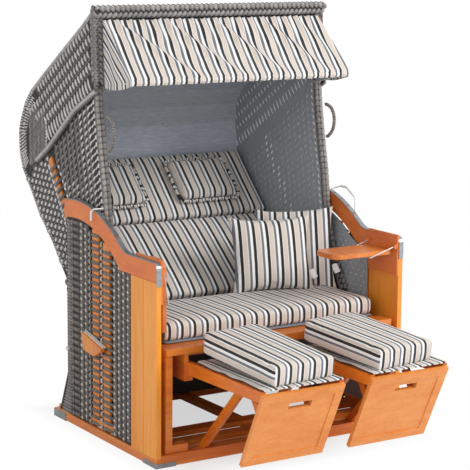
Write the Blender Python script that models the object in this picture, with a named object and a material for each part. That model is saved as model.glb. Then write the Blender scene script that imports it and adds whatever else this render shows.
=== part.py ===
"""Hooded beach chair: a pine and wicker base with a reclining wicker hood over it.

Metres, +Z up, +X to the sitter's left, the open front towards -Y.
While it is built, Y is 0 at the front boards and Z is 0 under the corner plates;
the root empty at the end moves the whole chair to its bounding box's bottom centre.
"""
import math

import bmesh
import bpy
from mathutils import Vector

for old in list(bpy.data.objects):
    bpy.data.objects.remove(old, do_unlink=True)

# Clearances
GAP = 0.0003            # between pieces that touch
HALF_GAP = 0.0005       # between turning or sliding wires and their ears
CUT = 0.05              # how far a cutter runs past what it cuts

# Base: boards and bottom frame
HALF_W = 0.55           # outer faces of the side boards
BOARD = 0.02            # thickness of the side boards
BASE_D = 0.82           # front to rear of the bottom frame
FOOT = 0.002            # underside of the frame, over the corner plates
SIDE_RAIL_TOP = 0.034
CROSS_TOP = 0.045       # tops of the front rail, rear rail and floor slats
FRONT_RAIL_D = 0.06
REAR_RAIL_D = 0.06
SLAT_T = 0.02
SLAT_W = 0.06
SLAT_FIRST = 0.115
SLAT_STEP = 0.12
RUNNER_W = 0.05
RUNNER_DROP = 0.01
FRONT_BOARD_D = 0.187
FRONT_BOARD_TOP = 0.685
GROOVE = 0.002
GROOVE_DEEP = 0.003
EDGE = 0.0015           # softened edges of the boards
PLATE_T = 0.0017        # sheet of the corner plates
PLATE_FRONT_L = 0.098
PLATE_FRONT_W = 0.082
PLATE_FRONT_H = 0.018
PLATE_REAR_L = 0.10
PLATE_REAR_H = 0.03

# Arm boards: a flat front run, then an arc about one centre
ARM_ARC_Y = 0.623
ARM_ARC_Z = 0.329
ARM_ARC_R = 0.568
ARM_BAND = 0.068        # height of the arm board
ARM_TOP = 0.754         # top of the flat front run
ARM_REAR = 0.719
ARM_NOSE = 0.025        # rounding of the front top corner
ARM_FILLET = 0.032      # run of the hollow between flat and arc
ARM_STEPS = 14
STRIP_T = 0.003         # steel strip on the arm's edge
STRIP_END = 0.672       # where the strip ends on the front board
HOOK_HOLE_R = 0.005
HOOK_HOLES = 8
HOOK_HOLE_STEP = 0.05   # along the arc, in metres
HOOK_HOLE_FIRST = 0.31  # y of the foremost hole

# Woven side panels, their posts and the woven rear
WEAVE_T = 0.012
WEAVE_IN = 0.001        # the weave lies this far inside the boards' faces
REAR_FACE = 0.7193      # rear edge of the side weave
FLARE_Y = 0.79          # rear edge at the floor
FLARE_Z = 0.2           # height where the flare starts
POST_T = 0.01
POST_W = 0.05
POST_SILL = 0.03
POST_Y_shares = (0.305, 0.56, 0.68, 0.92)   # of REAR_FACE
REAR_T = 0.0137
REAR_LOW_TOP = 0.265
REAR_TOP = 0.415
REAR_TOP_IN = 0.072
REAR_TOP_HALF = HALF_W - REAR_TOP_IN

# Hood pivot
PIVOT_Y = 0.70
PIVOT_Z = 0.30
BOLT_R = 0.005
BOLT_HEAD_R = 0.009
BOLT_HEAD_T = 0.005
LOBE_R = 0.022          # wall round the pivot bolt

# Seat
SEAT_IN = 0.045         # ends of the seat boards from the base's outer faces
SEAT_HALF = HALF_W - SEAT_IN
SEAT_RAIL_FRONT = 0.004
SEAT_RAIL_REAR = 0.08
SEAT_Z = 0.411          # underside of the seat boards
SEAT_T = 0.024
DECK_REAR = 0.425
DECK_IN = 0.072
DECK_HALF = HALF_W - DECK_IN
POST_IN_W = 0.03        # inner posts under the seat rail
POST_IN_D = 0.04
POST_IN_FRONT = 0.012
SHOE_W = 0.095
SHOE_D = 0.048
SHOE_H = 0.029
BEAM_D = 0.04
BEAM_H = 0.038

# Footrests
REST_IN = 0.0585        # inner edge of a footrest from the middle
REST_SIDE = 0.1461      # outer edge of a footrest from the base's outer face
REST_W = HALF_W - REST_IN - REST_SIDE
PANEL_Y = -0.4748       # top front edge of the panel
PANEL_Z = 0.3586
PANEL_RUN = 0.1355      # how far back its bottom edge lies
PANEL_DROP = 0.2828
PANEL_T = 0.016
MOULD_W = 0.034
MOULD_T = 0.003
SLOT_W = 0.096
SLOT_H = 0.0256
SLOT_S = 0.062          # from the panel's top edge to the slot's middle
RAIL_W = 0.018
RAIL_TOP = 0.3747
RAIL_BOTTOM = 0.3253
RAIL_REAR = 0.09
RAIL_TOE = 0.035        # how far the rail's nose comes down the panel
STRUT_W = 0.018
STRUT_IN = 0.06         # struts from the footrest's edges
CROSS_REAR = -0.235
CROSS_D = 0.08
CROSS_H = 0.029
FRONT_STRUT = 0.037
FRONT_STRUT_S = 0.15
REAR_STRUT = 0.04
REAR_STRUT_FOOT = 0.01
STRUT_SINK = 0.004      # how far the struts are housed in the cross board
GUIDE_W = 0.0175
GUIDE_LIP_T = 0.019
GUIDE_FRONT = 0.02
GUIDE_REAR = 0.384
GUIDE_TIE = 0.05        # cross board that joins the guides at the rear
REST_PAD_W = 0.278
REST_PAD_T = 0.078
REST_PAD_CROWN = 0.004
REST_PAD_LIFT_DEG = 5.5     # how far the rear of each loose footrest cushion stands up
REST_PAD_YAW_DEG = {"left": 5.5, "right": 8.5}
REST_PAD_SHIFT = {"left": -0.006, "right": -0.0305}
REST_PAD_RISE = 0.001
REST_FLAP_T = 0.008         # cover flap that lies on the runners below the foam

# Trays and their wire stays
TRAY_IN = 0.047
TRAY_L = 0.263
TRAY_EDGE = HALF_W - TRAY_IN    # wall edge of an open tray
TRAY_TIP = TRAY_EDGE - TRAY_L   # free end of an open tray
TRAY_FRONT = 0.018
TRAY_D = 0.147
TRAY_T = 0.018
TRAY_Z = 0.697          # middle of an open tray's thickness
TRAY_CORNER = 0.04
STAY_IN = 0.035
STAY_X = HALF_W - STAY_IN       # pivot of the stay
STAY_Z = 0.72
STAY_L = 0.121
STAY_R = 0.002
STAY_FRONT = 0.008
STAY_REAR = 0.175
STAY_FOLDED_DEG = 80.0  # below the horizontal, tray folded
MOUNT_T = 0.0072
MOUNT_D = 0.186
MOUNT_LOW = 0.605
MOUNT_TOP = 0.765
EAR_T = 0.004
EAR_R = 0.009

# Side handles
HANDLE_T = 0.018
HANDLE_Y = 0.552
HANDLE_Z = 0.40
HANDLE_shares = ((1.0, 1.0), (0.705, 0.91), (0.721, 0.875), (0.822, 0.8075), (0.971, 0.83))

# Hood: outline as shares of its depth and height
HOOD_D = 1.191
HOOD_H = 1.638
HOOD_IN = 0.034         # hood's outer faces from the base's
HOOD_HALF = HALF_W - HOOD_IN
WALL_T = 0.03
SHELL_T = 0.025
BACK_shares = ((0.4634, 0.9860), (0.5365, 0.950), (0.645, 0.9017), (0.729, 0.8632),
               (0.816, 0.8242), (0.905, 0.782), (0.949, 0.751), (0.986, 0.7045),
               (1.0, 0.677), (0.996, 0.6197), (0.973, 0.5824), (0.9144, 0.5379),
               (0.8455, 0.4799), (0.743, 0.417), (0.671, 0.3614))
FRONT_shares = ((0.449, 0.975), (0.441, 0.8547), (0.430, 0.757), (0.409, 0.6655),
                (0.3846, 0.58), (0.371, 0.5067), (0.355, 0.4396), (0.334, 0.3907),
                (0.302, 0.348), (0.262, 0.3016))
WALL_FOOT_shares = ((0.272, 0.278), (0.504, 0.269), (0.564, 0.2015))
SHELL_SHARES = 11       # points of the back outline that the shell follows
TRIM_T = 0.0117
BRAID_OUT = 0.012       # how far the side braid stands before the trim
BRAID_LOW_share = 0.818  # where the side braid ends, of the hood's height
BRAID_share = 0.02808   # of the hood's height
BRAID_H = BRAID_share * HOOD_H
BRAID_D = 0.036
BRAID_Y = 0.515
BAND_T = 0.008
ROPE_W = 0.022
ROPE_T = 0.012
ROPE_shares = ((0.436, 0.8028), (0.5676, 0.7552), (0.758, 0.6538), (0.852, 0.6123))
HOOD_SLAT_shares = ((0.751, 0.6267), (0.611, 0.482))
HOOD_SLAT_W = 0.03
LINING_T = 0.003
LINING_shares = ((0.483, 0.9525), (0.647, 0.876), (0.8145, 0.7985), (0.8875, 0.7643),
                 (0.9345, 0.7204), (0.9404, 0.6746), (0.9286, 0.6093))
LOOP_R = 0.007
LOOP_IN = 0.05
LOOP_X = HALF_W - LOOP_IN
LOOP_shares = ((0.369, 0.752), (0.342, 0.743), (0.3275, 0.7204), (0.3345, 0.6935),
               (0.359, 0.676))
LOOP_TOP_share = 0.753
LOOP_LOW_share = 0.674

# Back cushions: three points of their front line
BACK_Y0 = 0.51
BACK_Z0 = 0.505
BACK_Y1 = 0.83
BACK_Z1 = 0.755
BACK_Y2 = 1.07
BACK_Z2 = 0.99
BACK_T = 0.051
BACK_CROWN = 0.004
BACK_IN = 0.076
BACK_HALF = HALF_W - BACK_IN
SHELL_TAIL = 0.02
NECK_T = 0.038
NECK_OFF = 0.0041         # from the cushion's edge plane to a pad's back
NECK_CROWN = 0.008
NECK_LEN = 0.233
NECK_RISE = 0.05        # from the seam to the pads' lower edge
NECK_W = 0.30
NECK_LEFT = -0.24       # middle of each neck pad
NECK_RIGHT = 0.2025

# Seat cushion and loose pillows
CUSHION_FRONT = 0.07
CUSHION_REAR = 0.459
CUSHION_T = 0.069
CUSHION_CROWN = 0.006
PILLOW_W = 0.33
PILLOW_H = 0.30
PILLOW_T = 0.09
PILLOW_A_X = 0.206
PILLOW_A_Y = 0.405
PILLOW_A_TURN_DEG = -17.5
PILLOW_A_LEAN_DEG = 16.0
PILLOW_B_X = 0.344
PILLOW_B_Y = 0.436
PILLOW_B_W = 0.31
PILLOW_B_H = 0.325
PILLOW_B_T = 0.055
PILLOW_B_TURN_DEG = -32.0
PILLOW_B_LEAN_DEG = 12.0
PILLOW_A_SINK = 0.0035     # how far the pinched edge lets each pillow down
PILLOW_B_SINK = 0.0136
PILLOW_PINCH_share = 0.07

# Awning and its bow
BOW_IN = 0.0703
BOW_X = HALF_W - BOW_IN
BOW_R = 0.006
BOW_PIVOT_Y = 0.53
BOW_PIVOT_share = 0.80464       # of the hood's height, as the next ones
BOW_PIVOT_Z = BOW_PIVOT_share * HOOD_H
BOW_FRONT_Y = 0.30
BOW_FRONT_share = 0.83761
BOW_FRONT_Z = BOW_FRONT_share * HOOD_H
BOW_BEND = 0.03
CLOTH_T = 0.0022
CLOTH_IN = 0.0625
CLOTH_X = HALF_W - CLOTH_IN
CLOTH_TOP_Y = 0.512
CLOTH_TOP_share = 0.96825
CLOTH_TOP_Z = CLOTH_TOP_share * HOOD_H
CLOTH_SIDE_W = 0.006
CLOTH_LOW_Y = 0.503
CLOTH_LOW_share = 0.81502
CLOTH_LOW_Z = CLOTH_LOW_share * HOOD_H
CLOTH_HEM_Y = 0.2918
CLOTH_HEM_share = 0.82845
CLOTH_HEM_Z = CLOTH_HEM_share * HOOD_H
CLOTH_HEM_H = 0.026
CLOTH_SAG = 0.012
FOLD_DEPTH = 0.006
FOLD_COUNT = 7
FOLD_DRAG = 2.4

# Lock bails on the hood's front edge
BAIL_Y = 0.456
BAIL_LOW = 0.009
BAIL_Z = ARM_ARC_Z + ARM_ARC_R - BAIL_LOW
BAIL_R = 0.0025
SLEEVE_R = 0.0045
BAIL_STAND = 0.011
BAIL_OUT = HALF_W + BAIL_STAND   # left bail hangs outside the arm
BAIL_DROP = 0.046
BAIL_IN = 0.009
BAIL_OVER = HALF_W - BAIL_IN     # right bail lies over the arm
BAIL_SPAN = 0.15
BAIL_RISE = 0.017
BAIL_TIP = 0.074
BAIL_shares = (           # along the bail, above its pivot, sleeved or bare
    (0.3, 0.8, False), (0.35, 0.9, True), (0.6, 0.9, True),
    (0.9, -0.6, True), (0.95, -0.9, False), (1.0, -1.6, False),
)

PINE = ((0.80, 0.33, 0.08), 0.35, 0.0)
WICKER = ((0.13, 0.125, 0.12), 0.4, 0.0)
LINING = ((0.16, 0.19, 0.22), 0.75, 0.0)
STEEL = ((0.62, 0.64, 0.65), 0.35, 0.9)
WHITE = ((0.85, 0.85, 0.84), 0.45, 0.0)
FABRIC = ((0.66, 0.62, 0.57), 0.9, 0.0)

root = bpy.data.objects.new("chair_root", None)
bpy.context.scene.collection.objects.link(root)
MATERIALS = {}


def material(look):
    """One Principled material for each look."""
    if look not in MATERIALS:
        colour, rough, metal = look
        mat = bpy.data.materials.new("look_%d" % len(MATERIALS))
        mat.use_nodes = True
        bsdf = mat.node_tree.nodes["Principled BSDF"]
        bsdf.inputs["Base Color"].default_value = (*colour, 1.0)
        bsdf.inputs["Roughness"].default_value = rough
        bsdf.inputs["Metallic"].default_value = metal
        MATERIALS[look] = mat
    return MATERIALS[look]


def span(side, a, b):
    """A range of x mirrored to one side, low end first."""
    return tuple(sorted((side * a, side * b)))


class Piece:
    """Collects solids, then becomes one named object."""

    def __init__(self, pivot=(0, 0, 0)):
        self.bm = bmesh.new()
        self.pivot = Vector(pivot)

    def loft(self, rings):
        """Closed solid through equal rings of points, capped at both ends."""
        rows = [[self.bm.verts.new(p) for p in ring] for ring in rings]
        count = len(rows[0])
        faces = [self.bm.faces.new(rows[0][::-1]), self.bm.faces.new(rows[-1])]
        for low, high in zip(rows, rows[1:]):
            for i in range(count):
                j = (i + 1) % count
                faces.append(self.bm.faces.new((low[i], low[j], high[j], high[i])))
        volume = 0.0
        for face in faces:
            a = face.verts[0].co
            for b, c in zip(face.verts[1:], face.verts[2:]):
                volume += a.dot(b.co.cross(c.co))
        if volume < 0:
            for face in faces:
                face.normal_flip()
        return self

    def block(self, x, y, z):
        """Box between three ranges."""
        base = [(x[0], y[0]), (x[1], y[0]), (x[1], y[1]), (x[0], y[1])]
        return self.loft([[(a, b, h) for a, b in base] for h in z])

    def slab(self, outline, x):
        """Outline of (y, z) points pushed along X."""
        return self.loft([[(h, a, b) for a, b in outline] for h in x])

    def tube(self, points, radii, sides=8):
        """Round tube through points; radii is one number or one for each point."""
        points = [Vector(p) for p in points]
        if not isinstance(radii, (list, tuple)):
            radii = [radii] * len(points)
        rings = []
        up = None
        for i, p in enumerate(points):
            ahead = (points[min(i + 1, len(points) - 1)] - p)
            behind = (p - points[max(i - 1, 0)])
            t = (ahead.normalized() + behind.normalized()).normalized()
            if up is None:
                up = t.orthogonal().normalized()
            up = (up - t * up.dot(t)).normalized()
            side = t.cross(up)
            lean = 1.0 / max(math.cos(ahead.angle(behind, 0.0) / 2), math.cos(1.0))
            ring = []
            for k in range(sides):
                a = math.tau * k / sides
                ring.append(p + (up * math.cos(a) + side * math.sin(a)) * radii[i] * lean ** 0.5)
            rings.append(ring)
        return self.loft(rings)

    def pad(self, centre, ex, ey, half_x, half_y, low, high, crown=0.0, nx=14, ny=10,
            power=7.0, pinch=0.0, round_off=0.0, bend=None):
        """Soft pad: flat middle, rounded rim, crowned top; low and high are its two sides."""
        ex, ey = Vector(ex).normalized(), Vector(ey).normalized()
        ez = ex.cross(ey)
        centre = Vector(centre)

        def place(i, j, face):
            u = math.sin(math.pi / 2 * (2 * i / nx - 1))
            v = math.sin(math.pi / 2 * (2 * j / ny - 1))
            fu = max(0.0, 1 - abs(u) ** power) ** (1 / 2.2)
            fv = max(0.0, 1 - abs(v) ** power) ** (1 / 2.2)
            x = half_x * u * (1 - pinch * (1 - v * v)) * (1 - round_off * v ** 8)
            y = half_y * v * (1 - pinch * (1 - u * u)) * (1 - round_off * u ** 8)
            mid = (low + high) / 2
            reach = high - mid if face > 0 else mid - low
            z = mid + face * reach * fu * fv
            if face > 0:
                z += crown * (1 - u * u) * (1 - v * v)
            if bend:
                z += bend(u, v) * fu * fv
            return centre + ex * x + ey * y + ez * z

        rim = {}
        sides = {}
        for face in (-1, 1):
            grid = {}
            for i in range(nx + 1):
                for j in range(ny + 1):
                    edge = i in (0, nx) or j in (0, ny)
                    if edge and (i, j) in rim:
                        grid[i, j] = rim[i, j]
                        continue
                    grid[i, j] = self.bm.verts.new(place(i, j, 0 if edge else face))
                    if edge:
                        rim[i, j] = grid[i, j]
            sides[face] = grid
        for face, grid in sides.items():
            for i in range(nx):
                for j in range(ny):
                    quad = [grid[i, j], grid[i + 1, j], grid[i + 1, j + 1], grid[i, j + 1]]
                    self.bm.faces.new(quad if face > 0 else quad[::-1])
        return self

    def sheet(self, rows):
        """Open grid of points, thickened later."""
        grid = [[self.bm.verts.new(p) for p in row] for row in rows]
        for low, high in zip(grid, grid[1:]):
            for i in range(len(low) - 1):
                self.bm.faces.new((low[i], low[i + 1], high[i + 1], high[i]))
        return self

    def done(self, name, look, smooth=False, edge=0.0, cutters=(), joins=(), thick=0.0):
        """Turn the collected solids into one object."""
        for v in self.bm.verts:
            v.co -= self.pivot
        mesh = bpy.data.meshes.new(name)
        self.bm.to_mesh(mesh)
        self.bm.free()
        ob = bpy.data.objects.new(name, mesh)
        ob.location = self.pivot
        ob.parent = root
        bpy.context.scene.collection.objects.link(ob)
        mesh.materials.append(material(look))
        if smooth:
            mesh.shade_smooth()
            mesh.set_sharp_from_angle(angle=math.radians(40))
        if thick:
            mod = ob.modifiers.new("thickness", "SOLIDIFY")
            mod.thickness = thick
            mod.offset = 0.0
        for work, others in (("UNION", joins), ("DIFFERENCE", cutters)):
            for other in others:
                mod = ob.modifiers.new(work.lower(), "BOOLEAN")
                mod.operation = work
                mod.solver = "EXACT"
                mod.object = other
        if edge:
            mod = ob.modifiers.new("edge", "BEVEL")
            mod.width = edge
            mod.segments = 1
            mod.limit_method = "ANGLE"
            mod.angle_limit = math.radians(50)
        return ob

    def cutter(self, name):
        """A hidden object that only cuts others or is joined to them."""
        ob = self.done(name, STEEL)
        ob.hide_render = True
        ob.display_type = "WIRE"
        return ob


def arc(cy, cz, r, a0, a1, steps):
    """Points of an arc in the YZ plane, angles in radians."""
    return [(cy + r * math.cos(a0 + (a1 - a0) * k / steps),
             cz + r * math.sin(a0 + (a1 - a0) * k / steps)) for k in range(steps + 1)]


def scaled(shares, y, z):
    return [(a * y, b * z) for a, b in shares]


def offset(line, by):
    """A line of (y, z) points moved sideways; positive is to the right of travel."""
    out = []
    for i, p in enumerate(line):
        a = line[max(i - 1, 0)]
        b = line[min(i + 1, len(line) - 1)]
        d0 = Vector((p[0] - a[0], p[1] - a[1]))
        d1 = Vector((b[0] - p[0], b[1] - p[1]))
        d0 = d0.normalized() if d0.length else d1.normalized()
        d1 = d1.normalized() if d1.length else d0
        n0 = Vector((d0.y, -d0.x))
        n1 = Vector((d1.y, -d1.x))
        n = (n0 + n1).normalized()
        k = by / max(n.dot(n0), 0.5)
        out.append((p[0] + n.x * k, p[1] + n.y * k))
    return out


def strip(line, t):
    """Closed outline between a line and the same line moved by t."""
    return line + offset(line, t)[::-1]


def disc(y, z, r, sides=16):
    return [(y + r * math.cos(math.tau * k / sides), z + r * math.sin(math.tau * k / sides))
            for k in range(sides)]


# Bottom frame
inner = HALF_W - BOARD - GAP
for side, word in ((-1, "left"), (1, "right")):
    rail = Piece().block(span(side, HALF_W - BOARD, HALF_W), (0, BASE_D), (FOOT, SIDE_RAIL_TOP))
    rail.done("base_rail_" + word, PINE, edge=EDGE)
front_rail = Piece().block((-inner, inner), (0, FRONT_RAIL_D), (FOOT, CROSS_TOP))
front_rail.done("base_rail_front", PINE, edge=EDGE)
runner = Piece().block((-RUNNER_W / 2, RUNNER_W / 2), (SLAT_FIRST, BASE_D - REAR_RAIL_D / 2),
                       (CROSS_TOP - RUNNER_DROP - SLAT_T, CROSS_TOP - RUNNER_DROP))
slats = [runner.cutter("floor_runner")]
for k in range(2):
    y = SLAT_FIRST + k * SLAT_STEP
    slat = Piece().block((-inner, inner), (y, y + SLAT_W), (CROSS_TOP - SLAT_T, CROSS_TOP))
    slats.append(slat.cutter("floor_slat_%d" % k))
floor = Piece().block((-inner, inner), (BASE_D - REAR_RAIL_D, BASE_D), (FOOT, CROSS_TOP))
floor.done("floor_frame", PINE, joins=slats)

for side, word in ((-1, "left"), (1, "right")):
    out = HALF_W + GAP
    face = out + PLATE_T
    for end, length, height in (("front", PLATE_FRONT_L, PLATE_FRONT_H),
                                ("rear", PLATE_REAR_L, PLATE_REAR_H)):
        if end == "front":
            near, far = -GAP, length
            ys, hollow_ys = (near - PLATE_T, far), (near, far + CUT)
        else:
            near, far = BASE_D + GAP, BASE_D - length
            ys, hollow_ys = (far, near + PLATE_T), (far - CUT, near)
        hollow = Piece().block(span(side, HALF_W - PLATE_FRONT_W - CUT, out), hollow_ys,
                               (PLATE_T, height + CUT))
        plate = Piece().block(span(side, HALF_W - PLATE_FRONT_W, face), ys, (0, height))
        cut = hollow.cutter("plate_hollow_%s_%s" % (end, word))
        plate.done("corner_plate_%s_%s" % (end, word), STEEL, cutters=[cut])

# Front boards, arm boards and steel strips
arm_a0 = math.acos((ARM_REAR - ARM_ARC_Y) / ARM_ARC_R)
arm_turn = ARM_TOP + ARM_FILLET - ARM_ARC_Z
arm_a1 = math.pi - math.asin(arm_turn / ARM_ARC_R)
meet = ARM_ARC_Y - math.sqrt(ARM_ARC_R ** 2 - (ARM_TOP - ARM_ARC_Z) ** 2)
arc_end = ARM_ARC_Y + ARM_ARC_R * math.cos(arm_a1)
top_line = arc(ARM_ARC_Y, ARM_ARC_Z, ARM_ARC_R, arm_a0, arm_a1, ARM_STEPS)
for k in range(1, 5):
    f = k / 4
    a = Vector((arc_end, ARM_TOP + ARM_FILLET)).lerp(Vector((meet, ARM_TOP)), f)
    b = Vector((meet, ARM_TOP)).lerp(Vector((meet - ARM_FILLET, ARM_TOP)), f)
    top_line.append(tuple(a.lerp(b, f)))
top_line += arc(ARM_NOSE, ARM_TOP - ARM_NOSE, ARM_NOSE, math.pi / 2, math.pi, 5)
low_r = ARM_ARC_R - ARM_BAND
arm_foot = FRONT_BOARD_TOP + GAP
low_a0 = math.acos((ARM_REAR - ARM_ARC_Y) / low_r)
low_a1 = math.pi - math.asin((arm_foot - ARM_ARC_Z) / low_r)
low_line = arc(ARM_ARC_Y, ARM_ARC_Z, low_r, low_a0, low_a1, ARM_STEPS)
arm_outline = top_line + [(0, arm_foot)] + low_line[::-1]
strip_line = top_line + [(0, STRIP_END)]
strip_outline = offset(strip_line, GAP) + offset(strip_line, GAP + STRIP_T)[::-1]
for side, word in ((-1, "left"), (1, "right")):
    x = span(side, HALF_W - BOARD, HALF_W)
    low = SIDE_RAIL_TOP + GAP
    half = (FRONT_BOARD_D - GROOVE) / 2
    groove = Piece().block(span(side, HALF_W - GROOVE_DEEP, HALF_W + CUT), (half, half + GROOVE),
                           (low - CUT, FRONT_BOARD_TOP + CUT))
    boards = Piece().block(x, (0, FRONT_BOARD_D), (low, FRONT_BOARD_TOP))
    cut = groove.cutter("board_groove_" + word)
    boards.done("front_board_" + word, PINE, cutters=[cut])
    Piece().slab(arm_outline, x).done("arm_board_" + word, PINE, edge=EDGE)
    holes = Piece()
    first = math.pi - math.acos((ARM_ARC_Y - HOOK_HOLE_FIRST) / ARM_ARC_R)
    for k in range(HOOK_HOLES):
        a = first - k * HOOK_HOLE_STEP / ARM_ARC_R
        d = Vector((0, math.cos(a), math.sin(a)))
        c = Vector((side * (HALF_W - BOARD / 2), ARM_ARC_Y, ARM_ARC_Z))
        holes.tube([c + d * (ARM_ARC_R - STRIP_T), c + d * (ARM_ARC_R + 3 * STRIP_T)],
                   HOOK_HOLE_R)
    cut = holes.cutter("hook_holes_" + word)
    Piece().slab(strip_outline, x).done("arm_strip_" + word, STEEL, cutters=[cut])

# Woven side panels with the posts behind them
weave_x = (HALF_W - WEAVE_IN - WEAVE_T, HALF_W - WEAVE_IN)
panel_line = [(FRONT_BOARD_D + GAP, SIDE_RAIL_TOP + GAP), (FLARE_Y, SIDE_RAIL_TOP + GAP),
              ((FLARE_Y + REAR_FACE) / 2, (SIDE_RAIL_TOP + FLARE_Z) / 2), (REAR_FACE, FLARE_Z)]
arm_low = low_r - GAP
a0 = math.acos((ARM_REAR - ARM_ARC_Y) / arm_low)
a1 = math.pi - math.asin((FRONT_BOARD_TOP - ARM_ARC_Z) / arm_low)
panel_line += arc(ARM_ARC_Y, ARM_ARC_Z, arm_low, a0, a1, ARM_STEPS)
panel_line += [(FRONT_BOARD_D + GAP, FRONT_BOARD_TOP)]
for side, word in ((-1, "left"), (1, "right")):
    hole = Piece().slab(disc(PIVOT_Y, PIVOT_Z, BOLT_R + GAP),
                        span(side, weave_x[0] - WEAVE_T, weave_x[1] + WEAVE_T))
    cut = hole.cutter("side_bolt_hole_" + word)
    panel = Piece().slab(panel_line, span(side, *weave_x))
    panel.done("woven_side_" + word, WICKER, cutters=[cut])
    foot = CROSS_TOP + GAP
    comb = []
    for share in POST_Y_shares:
        y = share * REAR_FACE
        lo, hi = y - POST_W / 2, y + POST_W / 2
        far = max(abs(lo - ARM_ARC_Y), abs(hi - ARM_ARC_Y))
        top = ARM_ARC_Z + math.sqrt(max(arm_low ** 2 - far ** 2, 0)) - GAP
        if lo < meet:
            top = FRONT_BOARD_TOP - GAP
        comb += [(lo, foot + POST_SILL), (lo, top), (hi, top), (hi, foot + POST_SILL)]
    comb[0] = (comb[0][0], foot)
    comb[-1] = (comb[-1][0], foot)
    frame = Piece().slab(comb, span(side, weave_x[0] - GAP - POST_T, weave_x[0] - GAP))
    frame.done("side_frame_" + word, PINE)

rear_half = weave_x[0] - GAP
tee = [(-rear_half, CROSS_TOP), (rear_half, CROSS_TOP), (rear_half, REAR_LOW_TOP),
       (REAR_TOP_HALF, REAR_LOW_TOP), (REAR_TOP_HALF, REAR_TOP), (-REAR_TOP_HALF, REAR_TOP),
       (-REAR_TOP_HALF, REAR_LOW_TOP), (-rear_half, REAR_LOW_TOP)]
rear = Piece().loft([[(a, y, b) for a, b in tee] for y in (REAR_FACE - REAR_T, REAR_FACE)])
rear.done("woven_rear", WICKER)

# Pivot bolts: shank and head are one turned body on each side
for side, word in ((-1, "left"), (1, "right")):
    end = HALF_W - WEAVE_IN + GAP
    rings = []
    for x, r in ((HOOD_HALF - WALL_T - GAP, BOLT_R), (end, BOLT_R), (end, BOLT_HEAD_R),
                 (end + BOLT_HEAD_T, BOLT_HEAD_R)):
        rings.append([(side * x, y, z) for y, z in disc(PIVOT_Y, PIVOT_Z, r)])
    Piece().loft(rings).done("pivot_bolt_" + word, WHITE, smooth=True)

# Seat boards, posts and footrest guides
seat_top = SEAT_Z + SEAT_T
shoe_top = CROSS_TOP + GAP + SHOE_H
legs = []
for side in (-1, 1):
    shoe = Piece().block(span(side, SEAT_HALF - SHOE_W, SEAT_HALF),
                         (POST_IN_FRONT, POST_IN_FRONT + SHOE_D), (CROSS_TOP + GAP, shoe_top))
    post = Piece().block(span(side, SEAT_HALF - POST_IN_W, SEAT_HALF - FOOT),
                         (POST_IN_FRONT + FOOT, POST_IN_FRONT + POST_IN_D),
                         (shoe_top - FOOT, SEAT_Z + FOOT))
    legs += [shoe.cutter("seat_shoe_%d" % side), post.cutter("seat_post_%d" % side)]
rail_piece = Piece().block((-SEAT_HALF, SEAT_HALF), (SEAT_RAIL_FRONT, SEAT_RAIL_REAR),
                           (SEAT_Z, seat_top))
rail_piece.done("seat_frame", PINE, joins=legs[::-1])
beam_half = weave_x[0] - 2 * GAP - POST_T
beam = Piece().block((-beam_half, beam_half), (DECK_REAR - BEAM_D, DECK_REAR - FOOT),
                     (SEAT_Z - BEAM_H, SEAT_Z + FOOT))
deck = Piece().block((-DECK_HALF, DECK_HALF), (SEAT_RAIL_REAR + GAP, DECK_REAR),
                     (SEAT_Z, seat_top))
deck.done("seat_deck", PINE, joins=[beam.cutter("seat_beam")])

rest_out = REST_IN + REST_W
lip_top = RAIL_BOTTOM - 2 * GAP
lip_low = lip_top - GUIDE_LIP_T
parts = []
for side in (-1, 1):
    web = rest_out + GAP
    ring = [(web - RAIL_W, lip_low), (web + GUIDE_W, lip_low), (web + GUIDE_W, SEAT_Z - GAP),
            (web, SEAT_Z - GAP), (web, lip_top), (web - RAIL_W, lip_top)]
    guide = Piece().loft([[(side * a, y, b) for a, b in ring] for y in (GUIDE_FRONT, GUIDE_REAR)])
    parts.append(guide.cutter("guide_%d" % side))
web = REST_IN - GAP
ring = [(-web - RAIL_W, lip_low), (web + RAIL_W, lip_low), (web + RAIL_W, lip_top),
        (web, lip_top), (web, SEAT_Z - GAP), (-web, SEAT_Z - GAP), (-web, lip_top),
        (-web - RAIL_W, lip_top)]
middle = Piece().loft([[(a, y, b) for a, b in ring] for y in (GUIDE_FRONT, GUIDE_REAR)])
parts.append(middle.cutter("guide_middle"))
tie = Piece().block((-rest_out, rest_out), (GUIDE_REAR - GUIDE_TIE, GUIDE_REAR - FOOT),
                    (lip_low + FOOT, lip_top - FOOT))
tie.done("footrest_guides", PINE, joins=parts)

# Footrests: rails, cross board, struts, panel, screws and cushion
down = Vector((0, PANEL_RUN, -PANEL_DROP)).normalized()
inward = Vector((0, PANEL_DROP, PANEL_RUN)).normalized()
panel_len = math.hypot(PANEL_RUN, PANEL_DROP)
corner = Vector((0, PANEL_Y, PANEL_Z))


def on_panel(s, t):
    """Point s down the panel's face and t behind it, as (y, z)."""
    p = corner + down * s + inward * t
    return (p.y, p.z)


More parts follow.
